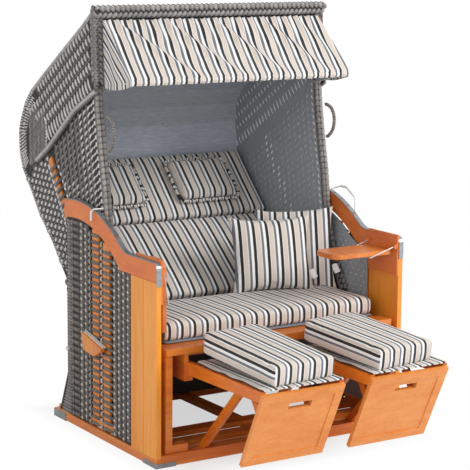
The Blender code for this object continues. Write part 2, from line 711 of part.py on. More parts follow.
back = PANEL_T + GAP
nose_top = PANEL_Y + (RAIL_TOP - PANEL_Z) * -PANEL_RUN / PANEL_DROP + back * panel_len / PANEL_DROP
under = RAIL_TOP - CROSS_H - GAP
for side, word in ((-1, "left"), (1, "right")):
    rail_outline = [(RAIL_REAR, RAIL_BOTTOM), on_panel(RAIL_TOE, back), (nose_top, RAIL_TOP),
                    (RAIL_REAR, RAIL_TOP)]
    parts = []
    for k, a in enumerate((REST_IN, rest_out - RAIL_W)):
        rail = Piece().slab(rail_outline, span(side, a, a + RAIL_W))
        parts.append(rail.cutter("rest_rail_%s_%d" % (word, k)))
    for k, a in enumerate((REST_IN + STRUT_IN, rest_out - STRUT_IN - STRUT_W)):
        x = span(side, a, a + STRUT_W)
        y0 = CROSS_REAR - CROSS_D
        foot = REAR_STRUT_FOOT
        knee = under + STRUT_SINK
        strut = Piece().slab([on_panel(FRONT_STRUT_S, back),
                              on_panel(FRONT_STRUT_S + FRONT_STRUT, back),
                              (y0 + FRONT_STRUT, under), (foot, CROSS_TOP + 2 * GAP),
                              (foot + REAR_STRUT, CROSS_TOP + 2 * GAP),
                              (CROSS_REAR - FOOT, under), (CROSS_REAR - FOOT, knee),
                              (y0 + FOOT, knee), (y0 + FOOT, under)], x)
        parts.append(strut.cutter("rest_strut_%s_%d" % (word, k)))
    frame = Piece().block(span(side, REST_IN + FOOT, rest_out - FOOT),
                          (CROSS_REAR - CROSS_D, CROSS_REAR), (RAIL_TOP - CROSS_H, RAIL_TOP - GAP))
    frame.done("footrest_frame_" + word, PINE, joins=parts)

    x0, x1 = span(side, REST_IN, rest_out)
    face = Piece().slab([on_panel(0, 0), on_panel(0, PANEL_T), on_panel(panel_len, PANEL_T),
                         on_panel(panel_len, 0)], (x0, x1))
    field = Piece().slab([on_panel(MOULD_W, -CUT), on_panel(MOULD_W, MOULD_T),
                          on_panel(panel_len - MOULD_W, MOULD_T),
                          on_panel(panel_len - MOULD_W, -CUT)], (x0 + MOULD_W, x1 - MOULD_W))
    mid = (x0 + x1) / 2
    slot = Piece().slab([on_panel(SLOT_S - SLOT_H / 2, -CUT), on_panel(SLOT_S + SLOT_H / 2, -CUT),
                         on_panel(SLOT_S + SLOT_H / 2, CUT), on_panel(SLOT_S - SLOT_H / 2, CUT)],
                        (mid - SLOT_W / 2, mid + SLOT_W / 2))
    face.done("footrest_panel_" + word, PINE,
              cutters=[field.cutter("panel_field_" + word), slot.cutter("grip_slot_" + word)])

    lift, yaw = math.radians(REST_PAD_LIFT_DEG), math.radians(REST_PAD_YAW_DEG[word])
    along = Vector((-math.sin(yaw) * math.cos(lift), math.cos(yaw) * math.cos(lift), math.sin(lift)))
    pad_front = PANEL_Y + REST_PAD_W / 2 * math.sin(yaw) + REST_PAD_T * math.sin(lift)
    pad_rear = SEAT_RAIL_FRONT - GAP - REST_PAD_W / 2 * math.sin(yaw)
    pad_half = (pad_rear - pad_front) / 2
    low = RAIL_TOP + GAP + REST_PAD_RISE
    cushion = Piece()
    cushion.pad((mid + REST_PAD_SHIFT[word], (pad_front + pad_rear) / 2,
                 low + pad_half * math.sin(lift)), (math.cos(yaw), math.sin(yaw), 0), along,
                REST_PAD_W / 2, pad_half, 0, REST_PAD_T, REST_PAD_CROWN, nx=16, ny=12, power=16.0,
                round_off=0.02)
    flap = Piece().block((x0 + GAP, x1 - GAP), (PANEL_Y + GAP, 0),
                         (RAIL_TOP + GAP, RAIL_TOP + GAP + REST_FLAP_T))
    cushion.done("footrest_cushion_" + word, FABRIC, joins=[flap.cutter("rest_flap_" + word)],
                 smooth=True)

# Tray mounts, boards and wire stays
tray_lift = STAY_R + 3 * GAP
stay_open = math.asin((STAY_Z - TRAY_Z + TRAY_T / 2 + tray_lift) / STAY_L)
stay_folded = math.radians(STAY_FOLDED_DEG)
board_in = HALF_W - BOARD - GAP
for side, word, folded in ((-1, "left", True), (1, "right", False)):
    ears = []
    for k, y0 in enumerate((STAY_FRONT - STAY_R - HALF_GAP - EAR_T,
                            STAY_REAR + STAY_R + HALF_GAP)):
        ear = Piece().block(span(side, STAY_X - EAR_R / 2, board_in - MOUNT_T / 2),
                            (y0, y0 + EAR_T), (STAY_Z - EAR_R, STAY_Z + EAR_R))
        ears.append(ear.cutter("ear_%s_%d" % (word, k)))
    mount = Piece().block(span(side, board_in - MOUNT_T, board_in), (GAP, MOUNT_D),
                          (MOUNT_LOW, MOUNT_TOP))
    mount.done("tray_mount_" + word, PINE, joins=ears)
    turn = stay_folded if folded else stay_open
    bar_x = STAY_X - STAY_L * math.cos(turn)
    bar_z = STAY_Z - STAY_L * math.sin(turn)
    stay = Piece((side * STAY_X, 0, STAY_Z))
    stay.tube([(side * STAY_X, STAY_FRONT, STAY_Z), (side * bar_x, STAY_FRONT, bar_z),
               (side * bar_x, STAY_REAR, bar_z), (side * STAY_X, STAY_REAR, STAY_Z)], STAY_R)
    stay.done("tray_stay_" + word, STEEL, smooth=True)

    open_x = STAY_X - STAY_L * math.cos(stay_open)
    wall = TRAY_EDGE - open_x
    tip = open_x - TRAY_TIP
    ahead = Vector((0, 1)) if folded else Vector((-1, 0))
    top = Vector((1, 0)) if folded else Vector((0, 1))
    tray = Piece((side * bar_x, 0, bar_z))
    plan = [(-wall, TRAY_FRONT), (-wall, TRAY_FRONT + TRAY_D)]
    for sign, y in ((1, TRAY_FRONT + TRAY_D - TRAY_CORNER), (-1, TRAY_FRONT + TRAY_CORNER)):
        for k in range(5):
            a = math.pi / 2 * k / 4
            a = a if sign < 0 else math.pi / 2 - a
            plan.append((tip - TRAY_CORNER + TRAY_CORNER * math.cos(a),
                         y + sign * TRAY_CORNER * math.sin(a)))
    rings = []
    for h in (tray_lift, tray_lift + TRAY_T):
        ring = []
        for a, y in plan:
            p = Vector((bar_x, bar_z)) + ahead * a + top * h
            ring.append((side * p.x, y, p.y))
        rings.append(ring)
    tray.loft(rings)
    tray.done("tray_" + word, PINE, edge=EDGE)

# Side handles
handle_line = scaled(HANDLE_shares, HANDLE_Y, HANDLE_Z)
for side, word in ((-1, "left"), (1, "right")):
    x = HALF_W - WEAVE_IN + GAP
    handle = Piece().slab(handle_line, span(side, x, x + HANDLE_T))
    handle.done("side_handle_" + word, PINE, edge=EDGE)

# Hood walls, shell, bands and trims
back_line = scaled(BACK_shares, HOOD_D, HOOD_H)
front_line = scaled(FRONT_shares, HOOD_D, HOOD_H)
rear_arm = [(PIVOT_Y + LOBE_R, back_line[-1][1] - (back_line[-1][0] - PIVOT_Y - LOBE_R))]
top_z = HOOD_H - BRAID_H
wall_line = [(y + TRIM_T + GAP, min(z, top_z - GAP)) for y, z in front_line]
behind_braid = BRAID_Y + BRAID_D + GAP
foot_line = scaled(WALL_FOOT_shares, HOOD_D, HOOD_H)
lobe = arc(PIVOT_Y, PIVOT_Z, LOBE_R, 0, -math.pi, 8)
wall_outline = back_line + rear_arm + lobe + foot_line[::-1] + wall_line[::-1]
wall_outline.append((behind_braid, top_z - GAP))

seam_a = Vector((0, BACK_Y0, BACK_Z0))
seam_b = Vector((0, BACK_Y1, BACK_Z1))
seam_c = Vector((0, BACK_Y2, BACK_Z2))
dir_low = (seam_b - seam_a).normalized()
dir_high = (seam_c - seam_b).normalized()
behind = BACK_T + GAP
back_points = [seam_c, seam_b, seam_a - dir_low * SHELL_TAIL]
support = offset([(p.y, p.z) for p in back_points], -behind)
support_out = offset([(p.y, p.z) for p in back_points], -behind - SHELL_T)
shell_out = [(y - GAP, z - GAP) for y, z in back_line[:SHELL_SHARES]]
shell_in = offset(shell_out, SHELL_T)
(y0, z0), (y1, z1) = shell_in[:2]
shell_in[0] = (behind_braid, z0 + (z1 - z0) * (behind_braid - y0) / (y1 - y0))
shell_outline = shell_out + support_out + support[::-1] + shell_in[::-1]

rope_line = scaled(ROPE_shares, HOOD_D, HOOD_H)
slat_line = scaled(HOOD_SLAT_shares, HOOD_D, HOOD_H)
braid_low = BRAID_LOW_share * HOOD_H
wall_in = HOOD_HALF - WALL_T
f = (front_line[1][1] - braid_low) / (front_line[1][1] - front_line[2][1])
low_y = front_line[1][0] + (front_line[2][0] - front_line[1][0]) * f
border = []
for side, word in ((-1, "left"), (1, "right")):
    hole = Piece().slab(disc(PIVOT_Y, PIVOT_Z, BOLT_R + GAP),
                        span(side, wall_in - WALL_T, HOOD_HALF + WALL_T))
    cut = hole.cutter("hood_bolt_hole_" + word)
    x = span(side, wall_in, HOOD_HALF)
    wall = Piece((0, PIVOT_Y, PIVOT_Z)).slab(wall_outline, x)
    wall.done("hood_wall_" + word, WICKER, cutters=[cut])
    edge_line = [(y - BRAID_OUT, z) for y, z in front_line[:2]]
    edge_line += [(low_y - BRAID_OUT, braid_low), (low_y, braid_low)] + front_line[2:]
    trim = Piece().slab(edge_line + [(y + TRIM_T, z) for y, z in front_line[::-1]], x)
    border.append(trim.cutter("hood_trim_" + word))
    band_in = offset(rope_line[:3], -ROPE_W / 2)
    slat_in = offset(slat_line, -HOOD_SLAT_W / 2 - GAP)
    band_outline = (back_line + rear_arm + [(rear_arm[0][0], slat_line[1][1])]
                    + slat_in[::-1] + band_in[::-1])
    band_x = span(side, HOOD_HALF + GAP, HOOD_HALF + GAP + BAND_T)
    rope = Piece().slab(offset(rope_line[:3], -ROPE_W / 2 - FOOT)
                        + offset(rope_line[:3], ROPE_W / 2)[::-1],
                        span(side, HOOD_HALF + GAP, HOOD_HALF + GAP + ROPE_T))
    Piece().slab(band_outline, band_x).done("hood_band_" + word, WICKER,
                                            joins=[rope.cutter("rope_" + word)])
    slat = offset(slat_line, -HOOD_SLAT_W / 2) + offset(slat_line, HOOD_SLAT_W / 2)[::-1]
    Piece().slab(slat, band_x).done("hood_slat_" + word, PINE)
braid = Piece().block((-HOOD_HALF, HOOD_HALF), (BRAID_Y, BRAID_Y + BRAID_D), (top_z, HOOD_H))
braid.done("hood_border", WICKER, joins=border)
Piece().slab(shell_outline, (-wall_in + GAP, wall_in - GAP)).done("hood_shell", WICKER)

lining_line = scaled(LINING_shares, HOOD_D, HOOD_H)
Piece().slab(strip(lining_line, -LINING_T), (-wall_in + GAP, wall_in - GAP)).done(
    "hood_lining", LINING)
loop_line = scaled(LOOP_shares, HOOD_D, HOOD_H)


def trim_face(z):
    """Front face of the edge trim at one height."""
    for (y0, z0), (y1, z1) in zip(front_line, front_line[1:]):
        if z1 <= z <= z0:
            return y0 + (y1 - y0) * (z0 - z) / (z0 - z1) - GAP
    return front_line[0][0] - GAP


loop_top = LOOP_TOP_share * HOOD_H
loop_low = LOOP_LOW_share * HOOD_H
for side, word in ((-1, "left"), (1, "right")):
    pts = [(trim_face(loop_top - LOOP_R) - GAP, loop_top)] + loop_line
    pts.append((trim_face(loop_low - LOOP_R) - GAP, loop_low))
    loop = Piece().tube([(side * LOOP_X, y, z) for y, z in pts], LOOP_R)
    loop.done("loop_handle_" + word, WICKER, smooth=True)

# Back cushions and neck pads
for name, a, b, way in (("back_cushion_lower", seam_a, seam_b, dir_low),
                        ("back_cushion_upper", seam_b, seam_c, dir_high)):
    mid = (a + b) / 2
    half = (b - a).length / 2 - 2 * GAP
    Piece().pad(mid, (1, 0, 0), way, BACK_HALF, half, -BACK_T, 0, BACK_CROWN, power=9.0).done(
        name, FABRIC, smooth=True)
front_of = Vector((1, 0, 0)).cross(dir_high)
for name, x in (("neck_pad_left", NECK_LEFT), ("neck_pad_right", NECK_RIGHT)):
    mid = seam_b + dir_high * (NECK_RISE + NECK_LEN / 2) + front_of * NECK_OFF
    mid.x = x
    Piece().pad(mid, (1, 0, 0), dir_high, NECK_W / 2, NECK_LEN / 2, 0, NECK_T, NECK_CROWN,
                nx=10, ny=8, power=5.0).done(name, FABRIC, smooth=True)

# Seat cushion and loose pillows
mid_y = (CUSHION_FRONT + CUSHION_REAR) / 2
seat_low = seat_top + GAP
Piece().pad((0, mid_y, 0), (1, 0, 0), (0, 1, 0), DECK_HALF, (CUSHION_REAR - CUSHION_FRONT) / 2,
            seat_low, seat_low + CUSHION_T, CUSHION_CROWN, nx=20, ny=12, power=12.0,
            round_off=0.015).done("seat_cushion", FABRIC, smooth=True)
seat_face = seat_low + CUSHION_T + CUSHION_CROWN
for name, x, y, sink, turn, lean, w, h, t in (
        ("pillow_front", PILLOW_A_X, PILLOW_A_Y, PILLOW_A_SINK, PILLOW_A_TURN_DEG,
         PILLOW_A_LEAN_DEG, PILLOW_W, PILLOW_H, PILLOW_T),
        ("pillow_rear", PILLOW_B_X, PILLOW_B_Y, PILLOW_B_SINK, PILLOW_B_TURN_DEG,
         PILLOW_B_LEAN_DEG, PILLOW_B_W, PILLOW_B_H, PILLOW_B_T)):
    turn, lean = math.radians(turn), math.radians(lean)
    ex = Vector((math.cos(turn), math.sin(turn), 0))
    flat = Vector((-math.sin(turn), math.cos(turn), 0))
    ey = flat * math.sin(lean) + Vector((0, 0, 1)) * math.cos(lean)
    rise = seat_face + GAP + h / 2 * math.cos(lean) - sink
    Piece().pad((x, y, rise), ex, ey, w / 2, h / 2, -t / 2, t / 2, nx=12, ny=12,
                power=2.0, pinch=PILLOW_PINCH_share).done(name, FABRIC, smooth=True)

# Awning bow and cloth
bow = Piece((0, BOW_PIVOT_Y, BOW_PIVOT_Z))
pull = Vector((0, BOW_FRONT_Y - BOW_PIVOT_Y, BOW_FRONT_Z - BOW_PIVOT_Z)).normalized()
front_mid = Vector((0, BOW_FRONT_Y, BOW_FRONT_Z))
bow_pts = []
for side in (-1, 1):
    x = Vector((side, 0, 0))
    leg = [Vector((side * BOW_X, BOW_PIVOT_Y, BOW_PIVOT_Z))]
    centre = front_mid + x * (BOW_X - BOW_BEND) - pull * BOW_BEND
    for k in range(5):
        a = math.pi / 2 * k / 4
        leg.append(centre + x * BOW_BEND * math.cos(a) + pull * BOW_BEND * math.sin(a))
    bow_pts += leg if side < 0 else leg[::-1]
bow.tube(bow_pts, BOW_R, 10)
bow.done("awning_bow", STEEL, smooth=True)

rows = []
top_c = Vector((0, CLOTH_TOP_Y, CLOTH_TOP_Z))
hem_c = Vector((0, CLOTH_HEM_Y, CLOTH_HEM_Z))
low_c = Vector((0, CLOTH_LOW_Y, CLOTH_LOW_Z))
sides_n, front_n, down_n = 3, 42, 9
face_n = Vector((1, 0, 0)).cross(hem_c - top_c).normalized()
knee_c = hem_c + Vector((0, 0, CLOTH_HEM_H))
for j in range(down_n + 2):
    v = min(j / down_n, 1)
    edge_p = top_c.lerp(knee_c, v) if j <= down_n else hem_c
    rear_p = (top_c - Vector((0, 0, CLOTH_SIDE_W))).lerp(low_c, j / (down_n + 1))
    row = []
    for i in range(sides_n):
        p = rear_p.lerp(edge_p, i / sides_n)
        row.append(Vector((-CLOTH_X, p.y, p.z)))
    for i in range(front_n + 1):
        u = 2 * i / front_n - 1
        wave = math.sin(math.pi * FOLD_COUNT * (u + FOLD_DRAG * v / FOLD_COUNT))
        fade = (1 - u ** 8) * math.sin(math.pi * v)
        sag = CLOTH_SAG * (1 - u * u) * math.sin(math.pi * v) + FOLD_DEPTH * wave * fade
        row.append(edge_p + Vector((CLOTH_X * u, 0, 0)) - face_n * sag)
    for i in range(1, sides_n + 1):
        p = edge_p.lerp(rear_p, i / sides_n)
        row.append(Vector((CLOTH_X, p.y, p.z)))
    rows.append(row)
cloth = Piece((0, BOW_PIVOT_Y, BOW_PIVOT_Z)).sheet(rows)
cloth.done("awning_cloth", FABRIC, smooth=True, thick=CLOTH_T)

# Lock bails: wire with a sleeved grip
left = Piece((0, BAIL_Y, BAIL_Z))
x0 = HOOD_HALF + GAP
left.tube([(-x0, BAIL_Y, BAIL_Z), (-BAIL_OUT + BAIL_R, BAIL_Y, BAIL_Z),
           (-BAIL_OUT, BAIL_Y + BAIL_R, BAIL_Z - BAIL_R),
           (-BAIL_OUT, BAIL_Y + BAIL_TIP / 4, BAIL_Z - BAIL_DROP / 4),
           (-BAIL_OUT, BAIL_Y + BAIL_TIP / 4, BAIL_Z - BAIL_DROP)],
          [BAIL_R, BAIL_R, BAIL_R, SLEEVE_R, SLEEVE_R])
left.done("lock_bail_left", WHITE, smooth=True)
right = Piece((0, BAIL_Y, BAIL_Z))
bail_pts = [(x0, BAIL_Y, BAIL_Z), (BAIL_OVER - BAIL_R, BAIL_Y, BAIL_Z),
            (BAIL_OVER, BAIL_Y - BAIL_R, BAIL_Z)]
radii = [BAIL_R, BAIL_R, BAIL_R]
for share, rise, sleeved in BAIL_shares:
    bail_pts.append((BAIL_OVER, BAIL_Y - share * BAIL_SPAN, BAIL_Z + rise * BAIL_RISE))
    radii.append(SLEEVE_R if sleeved else BAIL_R)
bail_pts.append((BAIL_OVER, BAIL_Y - BAIL_SPAN, BAIL_Z - BAIL_TIP))
radii.append(BAIL_R)
right.tube(bail_pts, radii)
right.done("lock_bail_right", WHITE, smooth=True)

# Measure the chair and bring its bottom centre to the origin
bpy.context.view_layer.update()
graph = bpy.context.evaluated_depsgraph_get()
low = Vector((math.inf,) * 3)
high = Vector((-math.inf,) * 3)
for ob in bpy.data.objects:
    if ob.type != "MESH" or ob.hide_render:
        continue
    shown = ob.evaluated_get(graph)
    for v in shown.to_mesh().vertices:
        p = shown.matrix_world @ v.co
        low = Vector(map(min, low, p))
        high = Vector(map(max, high, p))
    shown.to_mesh_clear()
root.location = (-(low.x + high.x) / 2, -(low.y + high.y) / 2, -low.z)
bpy.context.view_layer.update()
print("size", [round(v, 5) for v in high - low], "moved by", [round(v, 5) for v in root.location])
places = {
    "hood": (0, PIVOT_Y, PIVOT_Z),
    "bow": (0, BOW_PIVOT_Y, BOW_PIVOT_Z),
    "bail": (0, BAIL_Y, BAIL_Z),
    "stay": (STAY_X, 0, STAY_Z),
    "tray_open": (STAY_X - STAY_L * math.cos(stay_open), 0, STAY_Z - STAY_L * math.sin(stay_open)),
    "tray_folded": (STAY_X - STAY_L * math.cos(stay_folded), 0,
                    STAY_Z - STAY_L * math.sin(stay_folded)),
}
for name, p in places.items():
    print(name, [round(a + b, 5) for a, b in zip(p, root.location)])
print("stay turn", round(math.degrees(stay_folded - stay_open), 4))
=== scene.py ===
import math

import bmesh
import bpy
import numpy as np
from mathutils import Matrix, Vector


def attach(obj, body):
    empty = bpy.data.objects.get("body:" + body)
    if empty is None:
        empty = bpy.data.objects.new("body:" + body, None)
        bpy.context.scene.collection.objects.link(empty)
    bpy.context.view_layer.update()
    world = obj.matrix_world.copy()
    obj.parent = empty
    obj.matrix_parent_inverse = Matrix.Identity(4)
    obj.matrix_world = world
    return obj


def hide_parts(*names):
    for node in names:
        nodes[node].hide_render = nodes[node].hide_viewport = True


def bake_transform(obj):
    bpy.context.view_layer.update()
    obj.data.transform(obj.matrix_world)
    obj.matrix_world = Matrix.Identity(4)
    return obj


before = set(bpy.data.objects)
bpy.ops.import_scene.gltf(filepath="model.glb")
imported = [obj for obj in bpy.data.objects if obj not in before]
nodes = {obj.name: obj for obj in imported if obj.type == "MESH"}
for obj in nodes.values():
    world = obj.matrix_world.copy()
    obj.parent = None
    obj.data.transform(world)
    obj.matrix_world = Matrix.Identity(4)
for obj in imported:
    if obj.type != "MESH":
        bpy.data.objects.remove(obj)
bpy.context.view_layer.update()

# Camera and studio
# The chair is seen from its front left, a little from above, with a long lens. It stands on a
# pale floor in front of white, under one large soft lamp at the right and a weaker one at the left.
AZIMUTH, ELEVATION, ROLL = (math.radians(a) for a in (-32.403, 10.053, 0.487))
LENS_PX = 1707.27
SHOT_PX = 470

back = Vector((math.sin(AZIMUTH) * math.cos(ELEVATION),
               -math.cos(AZIMUTH) * math.cos(ELEVATION), math.sin(ELEVATION)))
level = Vector((0, 0, 1)).cross(back).normalized()
upward = back.cross(level)
cam_x = level * math.cos(ROLL) + upward * math.sin(ROLL)
cam_y = upward * math.cos(ROLL) - level * math.sin(ROLL)
camera = bpy.data.objects.new("camera", bpy.data.cameras.new("camera"))
camera.data.sensor_width = 36
camera.data.lens = LENS_PX / SHOT_PX * 36
camera.data.clip_end = 60
camera.matrix_world = Matrix.Translation((-3.4904, -5.5078, 1.9122)) @ Matrix(
    (cam_x, cam_y, back)).transposed().to_4x4()
bpy.context.scene.collection.objects.link(camera)
bpy.context.scene.camera = camera
bpy.context.scene.view_settings.view_transform = "Standard"


def paint(code):
    """A colour written as six hex digits, as linear RGBA."""
    parts = [int(code[i:i + 2], 16) / 255 for i in (0, 2, 4)]
    return tuple(c / 12.92 if c < 0.04045 else ((c + 0.055) / 1.055) ** 2.4 for c in parts) + (1,)


def put(tree, kind, inputs=None, **settings):
    """Adds a node: inputs are plain values or sockets to link."""
    node = tree.nodes.new(kind)
    for key, value in settings.items():
        setattr(node, key, value)
    for key, value in (inputs or {}).items():
        if isinstance(value, bpy.types.NodeSocket):
            tree.links.new(value, node.inputs[key])
        else:
            node.inputs[key].default_value = value
    return node


def blank(name):
    """A new material: its tree and its Principled shader come with it."""
    mat = bpy.data.materials.new(name)
    mat.use_nodes = True
    return mat, mat.node_tree, mat.node_tree.nodes["Principled BSDF"]


def maths(tree, work, *values):
    """A Math node's result."""
    return put(tree, "ShaderNodeMath", dict(enumerate(values)), operation=work).outputs[0]


def spot(tree):
    """Object coordinates."""
    return put(tree, "ShaderNodeTexCoord").outputs["Object"]


def spread(tree, value, low, high, start=0.0, end=1.0):
    """A value from low to high, as a value from start to end."""
    return put(tree, "ShaderNodeMapRange",
               {0: value, 1: low, 2: high, 3: start, 4: end}).outputs[0]


world = bpy.data.worlds.new("studio")
bpy.context.scene.world = world
world.use_nodes = True
sky = world.node_tree
sky.nodes.clear()
path = put(sky, "ShaderNodeLightPath")
seen = maths(sky, "MAXIMUM", path.outputs["Is Camera Ray"], path.outputs["Is Transmission Ray"])
glint = maths(sky, "MULTIPLY", path.outputs["Is Glossy Ray"], 0.85)
strength = maths(sky, "MAXIMUM", maths(sky, "MAXIMUM", seen, glint), 0.62)
glow = put(sky, "ShaderNodeBackground", {"Color": (1, 1, 1, 1), "Strength": strength})
put(sky, "ShaderNodeOutputWorld", {"Surface": glow.outputs[0]})

floor_mat = bpy.data.materials.new("pale floor")
floor_mat.use_nodes = True
ft = floor_mat.node_tree
ft.nodes.clear()
path = put(ft, "ShaderNodeLightPath")
lit = put(ft, "ShaderNodeBsdfDiffuse", {"Color": (0.9, 0.9, 0.9, 1)})
white = put(ft, "ShaderNodeEmission", {"Color": (1, 1, 1, 1), "Strength": 1.0})
across, deep, _ = put(ft, "ShaderNodeSeparateXYZ", {0: spot(ft)}).outputs
away = maths(ft, "MAXIMUM", maths(ft, "ABSOLUTE", across),
             maths(ft, "ABSOLUTE", maths(ft, "SUBTRACT", deep, 0.03)))
# the floor is shaded under the chair and turns white beyond it
open_floor = spread(ft, away, 0.40, 0.62, 0.62, 0.985)
both = put(ft, "ShaderNodeMixShader",
           {0: maths(ft, "MULTIPLY", path.outputs["Is Camera Ray"], open_floor),
            1: lit.outputs[0], 2: white.outputs[0]})
put(ft, "ShaderNodeOutputMaterial", {"Surface": both.outputs[0]})
floor_mesh = bpy.data.meshes.new("floor")
floor_mesh.from_pydata([(-9, -9, 0), (9, -9, 0), (9, 9, 0), (-9, 9, 0)], [], [(0, 1, 2, 3)])
floor_mesh.materials.append(floor_mat)
floor = bpy.data.objects.new("floor", floor_mesh)
bpy.context.scene.collection.objects.link(floor)

for name, place, aim, size, watts in (
        ("key lamp", (3.4, -3.6, 3.6), (0.1, 0.0, 0.7), 2.2, 190),
        ("fill lamp", (-4.2, -3.2, 2.4), (-0.1, 0.1, 0.8), 3.2, 62)):
    lamp = bpy.data.objects.new(name, bpy.data.lights.new(name, "AREA"))
    lamp.data.size = size
    lamp.data.energy = watts
    lamp.location = place
    lamp.rotation_euler = (Vector(aim) - Vector(place)).to_track_quat("-Z", "Y").to_euler()
    bpy.context.scene.collection.objects.link(lamp)


# Pine boards
# Planed pine, stained orange and lacquered: boards, slats, rails, arms, trays and footrest
# fronts, glued and screwed. The grain runs along each board, with darker late wood in streaks.
def group(name, ins, outs):
    """An empty shader node group with named sockets, and its input node."""
    tree = bpy.data.node_groups.new(name, "ShaderNodeTree")
    for label, kind, value in ins:
        socket = tree.interface.new_socket(label, in_out="INPUT", socket_type="NodeSocket" + kind)
        if value is not None:
            socket.default_value = value
    for label, kind in outs:
        tree.interface.new_socket(label, in_out="OUTPUT", socket_type="NodeSocket" + kind)
    return tree, tree.nodes.new("NodeGroupInput").outputs


def noise(tree, where, scale, detail=2.0, rough=0.5):
    """A Noise Texture's value."""
    return put(tree, "ShaderNodeTexNoise", {"Vector": where, "Scale": scale, "Detail": detail,
                                            "Roughness": rough}).outputs[0]


def mixed(tree, share, low, high):
    """A colour between two."""
    return put(tree, "ShaderNodeMixRGB", {"Fac": share, "Color1": low, "Color2": high}).outputs[0]


def dimmed(tree, colour, by):
    """A colour times a value."""
    return put(tree, "ShaderNodeVectorMath", {0: colour, "Scale": by}, operation="SCALE").outputs[0]


def raised(tree, shader, height, strength, distance):
    """Bumps a shader's surface."""
    bump = put(tree, "ShaderNodeBump", {"Height": height, "Strength": strength,
                                        "Distance": distance})
    tree.links.new(bump.outputs[0], shader.inputs["Normal"])


grain, gi = group("pine grain", [("Place", "Vector", None), ("Wear", "Float", 0.15),
                                 ("Early wood", "Color", paint("ED9A50")),
                                 ("Late wood", "Color", paint("C8662A"))],
                  [("Color", "Color"), ("Roughness", "Float"), ("Height", "Float")])
bend = put(grain, "ShaderNodeTexNoise", {"Vector": gi["Place"], "Scale": 5.0, "Detail": 2.0})
warped = put(grain, "ShaderNodeVectorMath", {
    0: gi["Place"], 1: dimmed(grain, bend.outputs["Color"], 0.05)}, operation="ADD").outputs[0]
streak = noise(grain, warped, 34.0, 5.0, 0.6)
fine = noise(grain, gi["Place"], 210.0)
broad = noise(grain, warped, 9.0, 1.0)
late = maths(grain, "ADD", maths(grain, "MULTIPLY", streak, 0.75),
             maths(grain, "MULTIPLY", broad, 0.45))
late = spread(grain, late, 0.42, 0.80)
wood = dimmed(grain, mixed(grain, late, gi["Early wood"], gi["Late wood"]),
              spread(grain, fine, 0.35, 0.7, 0.93, 1.05))
out = put(grain, "NodeGroupOutput")
grain.links.new(wood, out.inputs["Color"])
grain.links.new(maths(grain, "ADD", maths(grain, "MULTIPLY", late, 0.12), gi["Wear"]),
                out.inputs["Roughness"])
grain.links.new(maths(grain, "ADD", maths(grain, "MULTIPLY", fine, 0.3), streak),
                out.inputs["Height"])


def pine(name, stretch, early, dark, wear=0.26):
    """Lacquered pine whose grain runs along the axis with the small stretch."""
    mat, tree, shader = blank(name)
    along = put(tree, "ShaderNodeMapping", {"Vector": spot(tree), "Scale": stretch})
    use = put(tree, "ShaderNodeGroup", node_tree=grain)
    tree.links.new(along.outputs[0], use.inputs["Place"])
    use.inputs["Early wood"].default_value = paint(early)
    use.inputs["Late wood"].default_value = paint(dark)
    use.inputs["Wear"].default_value = wear
    tree.links.new(use.outputs["Color"], shader.inputs["Base Color"])
    tree.links.new(use.outputs["Roughness"], shader.inputs["Roughness"])
    raised(tree, shader, use.outputs["Height"], 0.12, 0.001)
    shader.inputs["Coat Weight"].default_value = 0.25
    shader.inputs["Coat Roughness"].default_value = 0.2
    return mat


def clothe(mat, *names):
    """Gives CAD nodes that keep their shape a finish of their own."""
    for name in names:
        slots = nodes[name].data.materials
        slots.clear()
        slots.append(mat)


upright = pine("upright pine", (1, 1, 0.07), early="F09A40", dark="CF6820")
crosswise = pine("crosswise pine", (0.07, 1, 1), early="EC9038", dark="C95F1E")
lengthwise = pine("lengthwise pine", (1, 0.07, 1), early="EC8E38", dark="C65C20")
arm_pine = pine("arm pine", (1, 0.09, 0.35), early="EC8436", dark="D26424")
front_pine = pine("front board pine", (1, 1, 0.06), early="FBA83E", dark="EA8C2A")
clothe(front_pine, "front_board_left", "front_board_right")
clothe(arm_pine, "arm_board_left", "arm_board_right", "tray_mount_left",
       "tray_mount_right")
clothe(upright, "side_frame_left", "side_frame_right", "hood_slat_left", "hood_slat_right",
       "side_handle_left", "side_handle_right")
clothe(crosswise, "base_rail_front", "floor_frame", "seat_frame", "seat_deck")
clothe(lengthwise, "base_rail_left", "base_rail_right", "footrest_guides", "tray_right")
clothe(pine("folded tray pine", (1, 0.07, 1), early="E58645", dark="C4602A"), "tray_left")

# Footrest fronts
# Each front is a plywood board in a bevelled pine moulding, with a long finger slot. Runners
# and a pair of struts behind it carry the cushion and slide in between the guides.
clothe(pine("plywood front", (0.35, 1, 1), early="EE9B4C", dark="E28534", wear=0.3),
       "footrest_panel_left", "footrest_panel_right")
clothe(pine("footrest runner pine", (1, 0.09, 0.5), early="F08A2C", dark="D0601A"),
       "footrest_frame_left", "footrest_frame_right")

# Steel strips, corner plates and wires
# Hot-dip galvanised sheet and wire, dull grey with a faint spangle. The strips on the arms are
# punched with slots that the hood's bails hook into. The bails and bolt caps are coated white.
spangle, si = group("zinc spangle", [("Place", "Vector", None), ("Size", "Float", 160.0)],
                    [("Shade", "Float"), ("Roughness", "Float")])
cell = put(spangle, "ShaderNodeTexVoronoi", {"Vector": si["Place"], "Scale": si["Size"]})
mottle = noise(spangle, si["Place"], 35.0, 4.0)
out = put(spangle, "NodeGroupOutput")
spangle.links.new(maths(spangle, "ADD", maths(spangle, "MULTIPLY", cell.outputs["Color"], 0.16),
                        maths(spangle, "MULTIPLY", mottle, 0.5)), out.inputs[0])
spangle.links.new(maths(spangle, "MULTIPLY_ADD", mottle, 0.3, 0.22), out.inputs[1])


